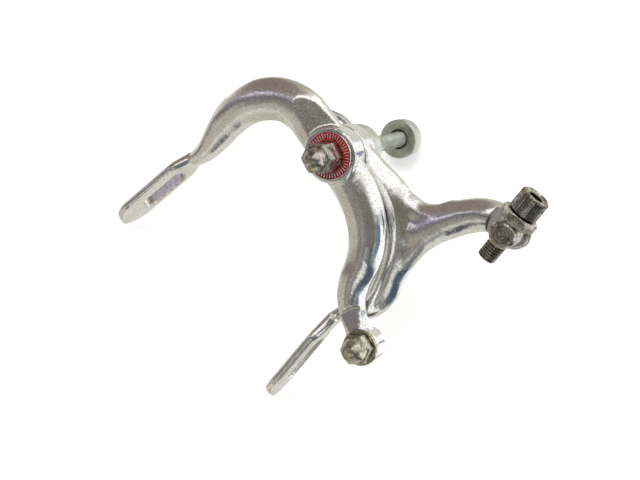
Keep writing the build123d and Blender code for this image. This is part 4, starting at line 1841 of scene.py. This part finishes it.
@dataclass
class Studio:
    """Camera, pale floor, soft lamps and the tent that the metal reflects."""

    eye: tuple[float, float, float] = (122.6, -556.9, 218.0)
    back: tuple[float, float, float] = (0.175, -0.896, 0.408)
    up: tuple[float, float, float] = (-0.754, 0.144, 0.641)
    lens: float = 94.5
    plate_back: float = -9.0
    bolt_radius: float = 3.0
    floor_gap: float = 1.5
    tent_colour: tuple[float, float, float] = (0.71, 0.705, 0.64)
    cards: tuple[Card, ...] = (
        Card(131, -8, 139, 77, 0, 0.10, (1.12, 1.14, 1.15)),
        Card(-87, 90, 22, 50, 0, 0.10, (1.25, 1.24, 1.18)),
        Card(-110, -25, 70, 26, 0, 0.14, (0.50, 0.48, 0.405)),
        Card(-64, -108, 39, 54, 0, 0.58, (0.54, 0.52, 0.43)),
        Card(-17, 94, 64, 27, 10, 0.10, (0.49, 0.465, 0.39)),
        Card(-48, 56, 58, 47, 76, 0.95, (0.26, 0.22, 0.195)),
        Card(-57, 2, 27, 13, 80, 0.25, (0.26, 0.235, 0.22)),
        Card(-65, 3, 60, 12, -13, 1.00, (0.20, 0.185, 0.195)),
        Card(-62, 11.5, 25, 6, -14, 0.80, (0.36, 0.315, 0.42)),
        Card(-59, 11.2, 17, 1.3, -14, 0.50, (1.30, 1.25, 1.33)),
        Card(5, 37, 58, 10, 42, 0.15, (1.25, 1.25, 1.24)),
        Card(80, 2, 50, 6, 8, 0.25, (0.48, 0.50, 0.53)),
        Card(131, 13, 9, 8, 90, 0.35, (0.20, 0.25, 0.34)),
        Card(-19, -18, 28, 20, -3, 0.95, (0.19, 0.18, 0.15)),
        Card(19, -21, 16, 16, -20, 0.25, (0.17, 0.22, 0.29)),
        Card(22, -57, 62, 15, -29, 0.70, (0.085, 0.115, 0.155)),
        Card(4, -65, 43, 7, -33, 0.12, (0.25, 0.265, 0.265)),
        Card(-17, -37, 21, 4, -39, 0.70, (0.95, 0.95, 0.91)),
        Card(-28, -63, 24, 7, -50, 0.80, (0.08, 0.09, 0.10)),
    )

    def axes(self) -> tuple[Vector, Vector, Vector]:
        """Right, up and back of the camera.

        Returns:
            The three axes, of length 1.
        """
        back = Vector(self.back).normalized()
        up = Vector(self.up)
        up = (up - back * up.dot(back)).normalized()
        return up.cross(back), up, back

    def camera(self) -> None:
        """Sets up the camera."""
        right, up, back = self.axes()
        bpy.ops.object.camera_add()
        camera = bpy.context.object
        turn = Matrix((right, up, back)).transposed().to_4x4()
        camera.matrix_world = Matrix.Translation(Vector(self.eye) * MM) @ turn
        camera.data.lens = self.lens
        camera.data.sensor_width = 36.0
        camera.data.clip_start = 0.01
        bpy.context.scene.camera = camera

    def floor(self) -> None:
        """The ground that the caliper lies on: it rests on the bolt's end and both plates."""
        low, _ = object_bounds()
        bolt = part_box("pivot_bolt")[1].y
        way = Vector((0, self.plate_back * MM - bolt, low.z))
        normal = Vector((1, 0, 0)).cross(way).normalized()
        if normal.y > 0:
            normal = -normal
        origin = Vector((0, bolt, -self.bolt_radius * MM)) - normal * self.floor_gap * MM
        Bench.clear()
        bpy.ops.mesh.primitive_circle_add(vertices=96, radius=1.6, fill_type="NGON")
        floor = bpy.context.object
        floor.name = "floor"
        side = Vector((1, 0, 0))
        turn = Matrix((side, normal.cross(side), normal)).transposed().to_4x4()
        floor.matrix_world = Matrix.Translation(origin) @ turn
        floor.data.materials.append(self.floor_material())
        floor.visible_glossy = False
        floor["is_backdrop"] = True

    def floor_material(self) -> bpy.types.Material:
        """White ground, see-through from behind; it keeps the shadow.

        Returns:
            The material.
        """
        s = Shader("floor")
        matt = s.add("ShaderNodeBsdfDiffuse", {"Color": rgb(0.90, 0.90, 0.895)})
        path = s.add("ShaderNodeLightPath")
        seen = s.math("MAXIMUM", path.outputs["Is Camera Ray"],
                      path.outputs["Is Transmission Ray"])
        lift = s.add("ShaderNodeEmission", {"Color": rgb(1, 1, 1),
                                            "Strength": s.math("MULTIPLY", seen, 0.16)})
        both = s.add("ShaderNodeAddShader", {0: matt.outputs[0], 1: lift.outputs[0]})
        clear = s.add("ShaderNodeBsdfTransparent")
        side = s.add("ShaderNodeNewGeometry")
        ends = s.add("ShaderNodeMixShader", {0: side.outputs["Backfacing"], 1: both.outputs[0],
                                             2: clear.outputs[0]})
        s.links.new(ends.outputs[0], s.output.inputs[0])
        return s.material

    def tent(self) -> None:
        """A dome of soft cards round the object, visible in reflections only."""
        Bench.clear()
        bpy.ops.mesh.primitive_uv_sphere_add(segments=48, ring_count=24, radius=3.0)
        tent = bpy.context.object
        tent.name = "tent"
        for setting in ("camera", "diffuse", "transmission", "volume_scatter", "shadow"):
            setattr(tent, f"visible_{setting}", False)
        s = Shader("tent")
        right, up, back = self.axes()
        away = s.add("ShaderNodeVectorMath", {0: s.coords.outputs["Object"]},
                     operation="NORMALIZE").outputs[0]
        side, rise, facing = (s.add("ShaderNodeVectorMath", {0: away, 1: tuple(axis)},
                                    operation="DOT_PRODUCT").outputs["Value"]
                              for axis in (right, up, back))
        flat = s.add("ShaderNodeCombineXYZ", {0: side, 1: rise}).outputs[0]
        aim = s.add("ShaderNodeVectorMath", {0: flat}, operation="NORMALIZE").outputs[0]
        tilt = s.math("MULTIPLY", s.math("ARCCOSINE", facing), 180 / math.pi)
        plan = s.add("ShaderNodeVectorMath", {0: aim, "Scale": tilt}, operation="SCALE").outputs[0]
        colour = rgb(*self.tent_colour)
        for card in self.cards:
            seen = s.add("ShaderNodeMapping",
                         {"Vector": plan, "Location": (card.across, card.up, 0),
                          "Rotation": (0, 0, math.radians(card.lean)),
                          "Scale": (card.long, card.wide, 1)}, vector_type="TEXTURE").outputs[0]
            away = s.add("ShaderNodeVectorMath", {0: seen}, operation="LENGTH").outputs["Value"]
            share = s.span(away, 1 + card.soft / 2, 1 - card.soft / 2)
            colour = s.mix(share, colour, rgb(*card.colour))
        glow = s.add("ShaderNodeEmission", {"Color": colour, "Strength": 1.0})
        s.links.new(glow.outputs[0], s.output.inputs[0])
        tent.data.materials.append(s.material)
        tent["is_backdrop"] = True

    def lamps(self) -> None:
        """Soft lamps: a big one overhead and a weaker one from the right."""
        right, up, back = self.axes()
        for name, toward, size, power in (("key", back * 0.8 + up * 0.5 - right * 0.2, 0.9, 9.0),
                                          ("fill", right * 0.9 + back * 0.5, 0.6, 3.0)):
            Bench.clear()
            bpy.ops.object.light_add(type="AREA")
            lamp = bpy.context.object
            lamp.name = name
            lamp.data.shape = "DISK"
            lamp.data.size = size
            lamp.data.energy = power
            aim = toward.normalized()
            lamp.matrix_world = (Matrix.Translation(aim * 1.1)
                                 @ aim.to_track_quat("Z", "Y").to_matrix().to_4x4())
            lamp.visible_glossy = False

    def world(self) -> None:
        """White all round for what is seen, and a plain level for what lights."""
        world = bpy.data.worlds.new("studio")
        world.use_nodes = True
        nodes, links = world.node_tree.nodes, world.node_tree.links
        nodes.clear()
        output = nodes.new("ShaderNodeOutputWorld")
        glow = nodes.new("ShaderNodeBackground")
        glow.inputs["Color"].default_value = rgb(1, 1, 1)
        path = nodes.new("ShaderNodeLightPath")
        top = nodes.new("ShaderNodeMath")
        top.operation = "MAXIMUM"
        links.new(path.outputs["Is Camera Ray"], top.inputs[0])
        links.new(path.outputs["Is Glossy Ray"], top.inputs[1])
        level = nodes.new("ShaderNodeMapRange")
        level.inputs["To Min"].default_value = 0.75
        level.inputs["To Max"].default_value = 1.0
        links.new(top.outputs[0], level.inputs["Value"])
        links.new(level.outputs[0], glow.inputs["Strength"])
        links.new(glow.outputs[0], output.inputs[0])
        bpy.context.scene.world = world

    def build(self) -> None:
        """Sets the whole studio."""
        bpy.context.scene.view_settings.view_transform = "Standard"
        self.camera()
        self.world()
        self.lamps()
        self.tent()
        self.floor()


# ---------------------------------------------------------------------------- the caliper
@dataclass
class Caliper:
    """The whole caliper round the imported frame."""

    finishes: Finishes

    def build(self) -> None:
        """Makes every piece."""
        shop = Workshop(self.finishes)
        FrontArm("front_arm", "front_arm", front_limbs(FrontArm.y, PadPlate.y),
                 PadPlate(-1, 40.2, 18.0, (-53.0, -74.5), -42.0, 11.5)).build(shop)
        RearArm("rear_arm", "rear_arm", rear_limbs(RearArm.y),
                PadPlate(1, 42.7, 2.0, (-53.0, -73.5), -43.0, 10.3)).build(shop)
        AcornNut("pivot_acorn_nut", "stack", 10.0, 6.3, 8.3, 15.0).build(shop)
        AcornNut("anchor_acorn_nut", "cable_anchor", 10.0, 4.4, 9.2, 9.0, Tone.PALE).build(shop)
        HexNut("adjusting_nut", "stack", 10.0, 15.0).build(shop)
        HexNut("mounting_nut", "stack", 10.0, 15.0, Slot.ZINC).build(shop)
        Washer("anchor_washer", "cable_anchor", BOLT_BORE, Slot.DARK_STEEL, 0.45,
               tone=Tone.PALE).build(shop)
        Washer("middle_washer", "stack", BOLT_BORE, Slot.ZINC, 0.1).build(shop)
        Washer("back_washer", "stack", BOLT_BORE, Slot.ZINC, 0.1).build(shop)
        Washer("crown_spacer", "stack", 3.8, Slot.ZINC, 0.4, 0.12).build(shop)
        Washer("rear_washer", "stack", BOLT_BORE, Slot.ZINC, 0.3).build(shop)
        RingWasher().build(shop)
        PivotBolt().build(shop)
        SpringBlock().build(shop)
        AnchorBolt().build(shop)
        SpringClip().build(shop)
        CableAdjuster().build(shop)
        ReturnSpring().build(shop)


def main() -> None:
    """Builds the studio and the caliper."""
    logging.basicConfig(level=logging.INFO, format="%(message)s")
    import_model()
    Studio().build()
    Caliper(Finishes()).build()


if __name__ == "__main__":
    main()
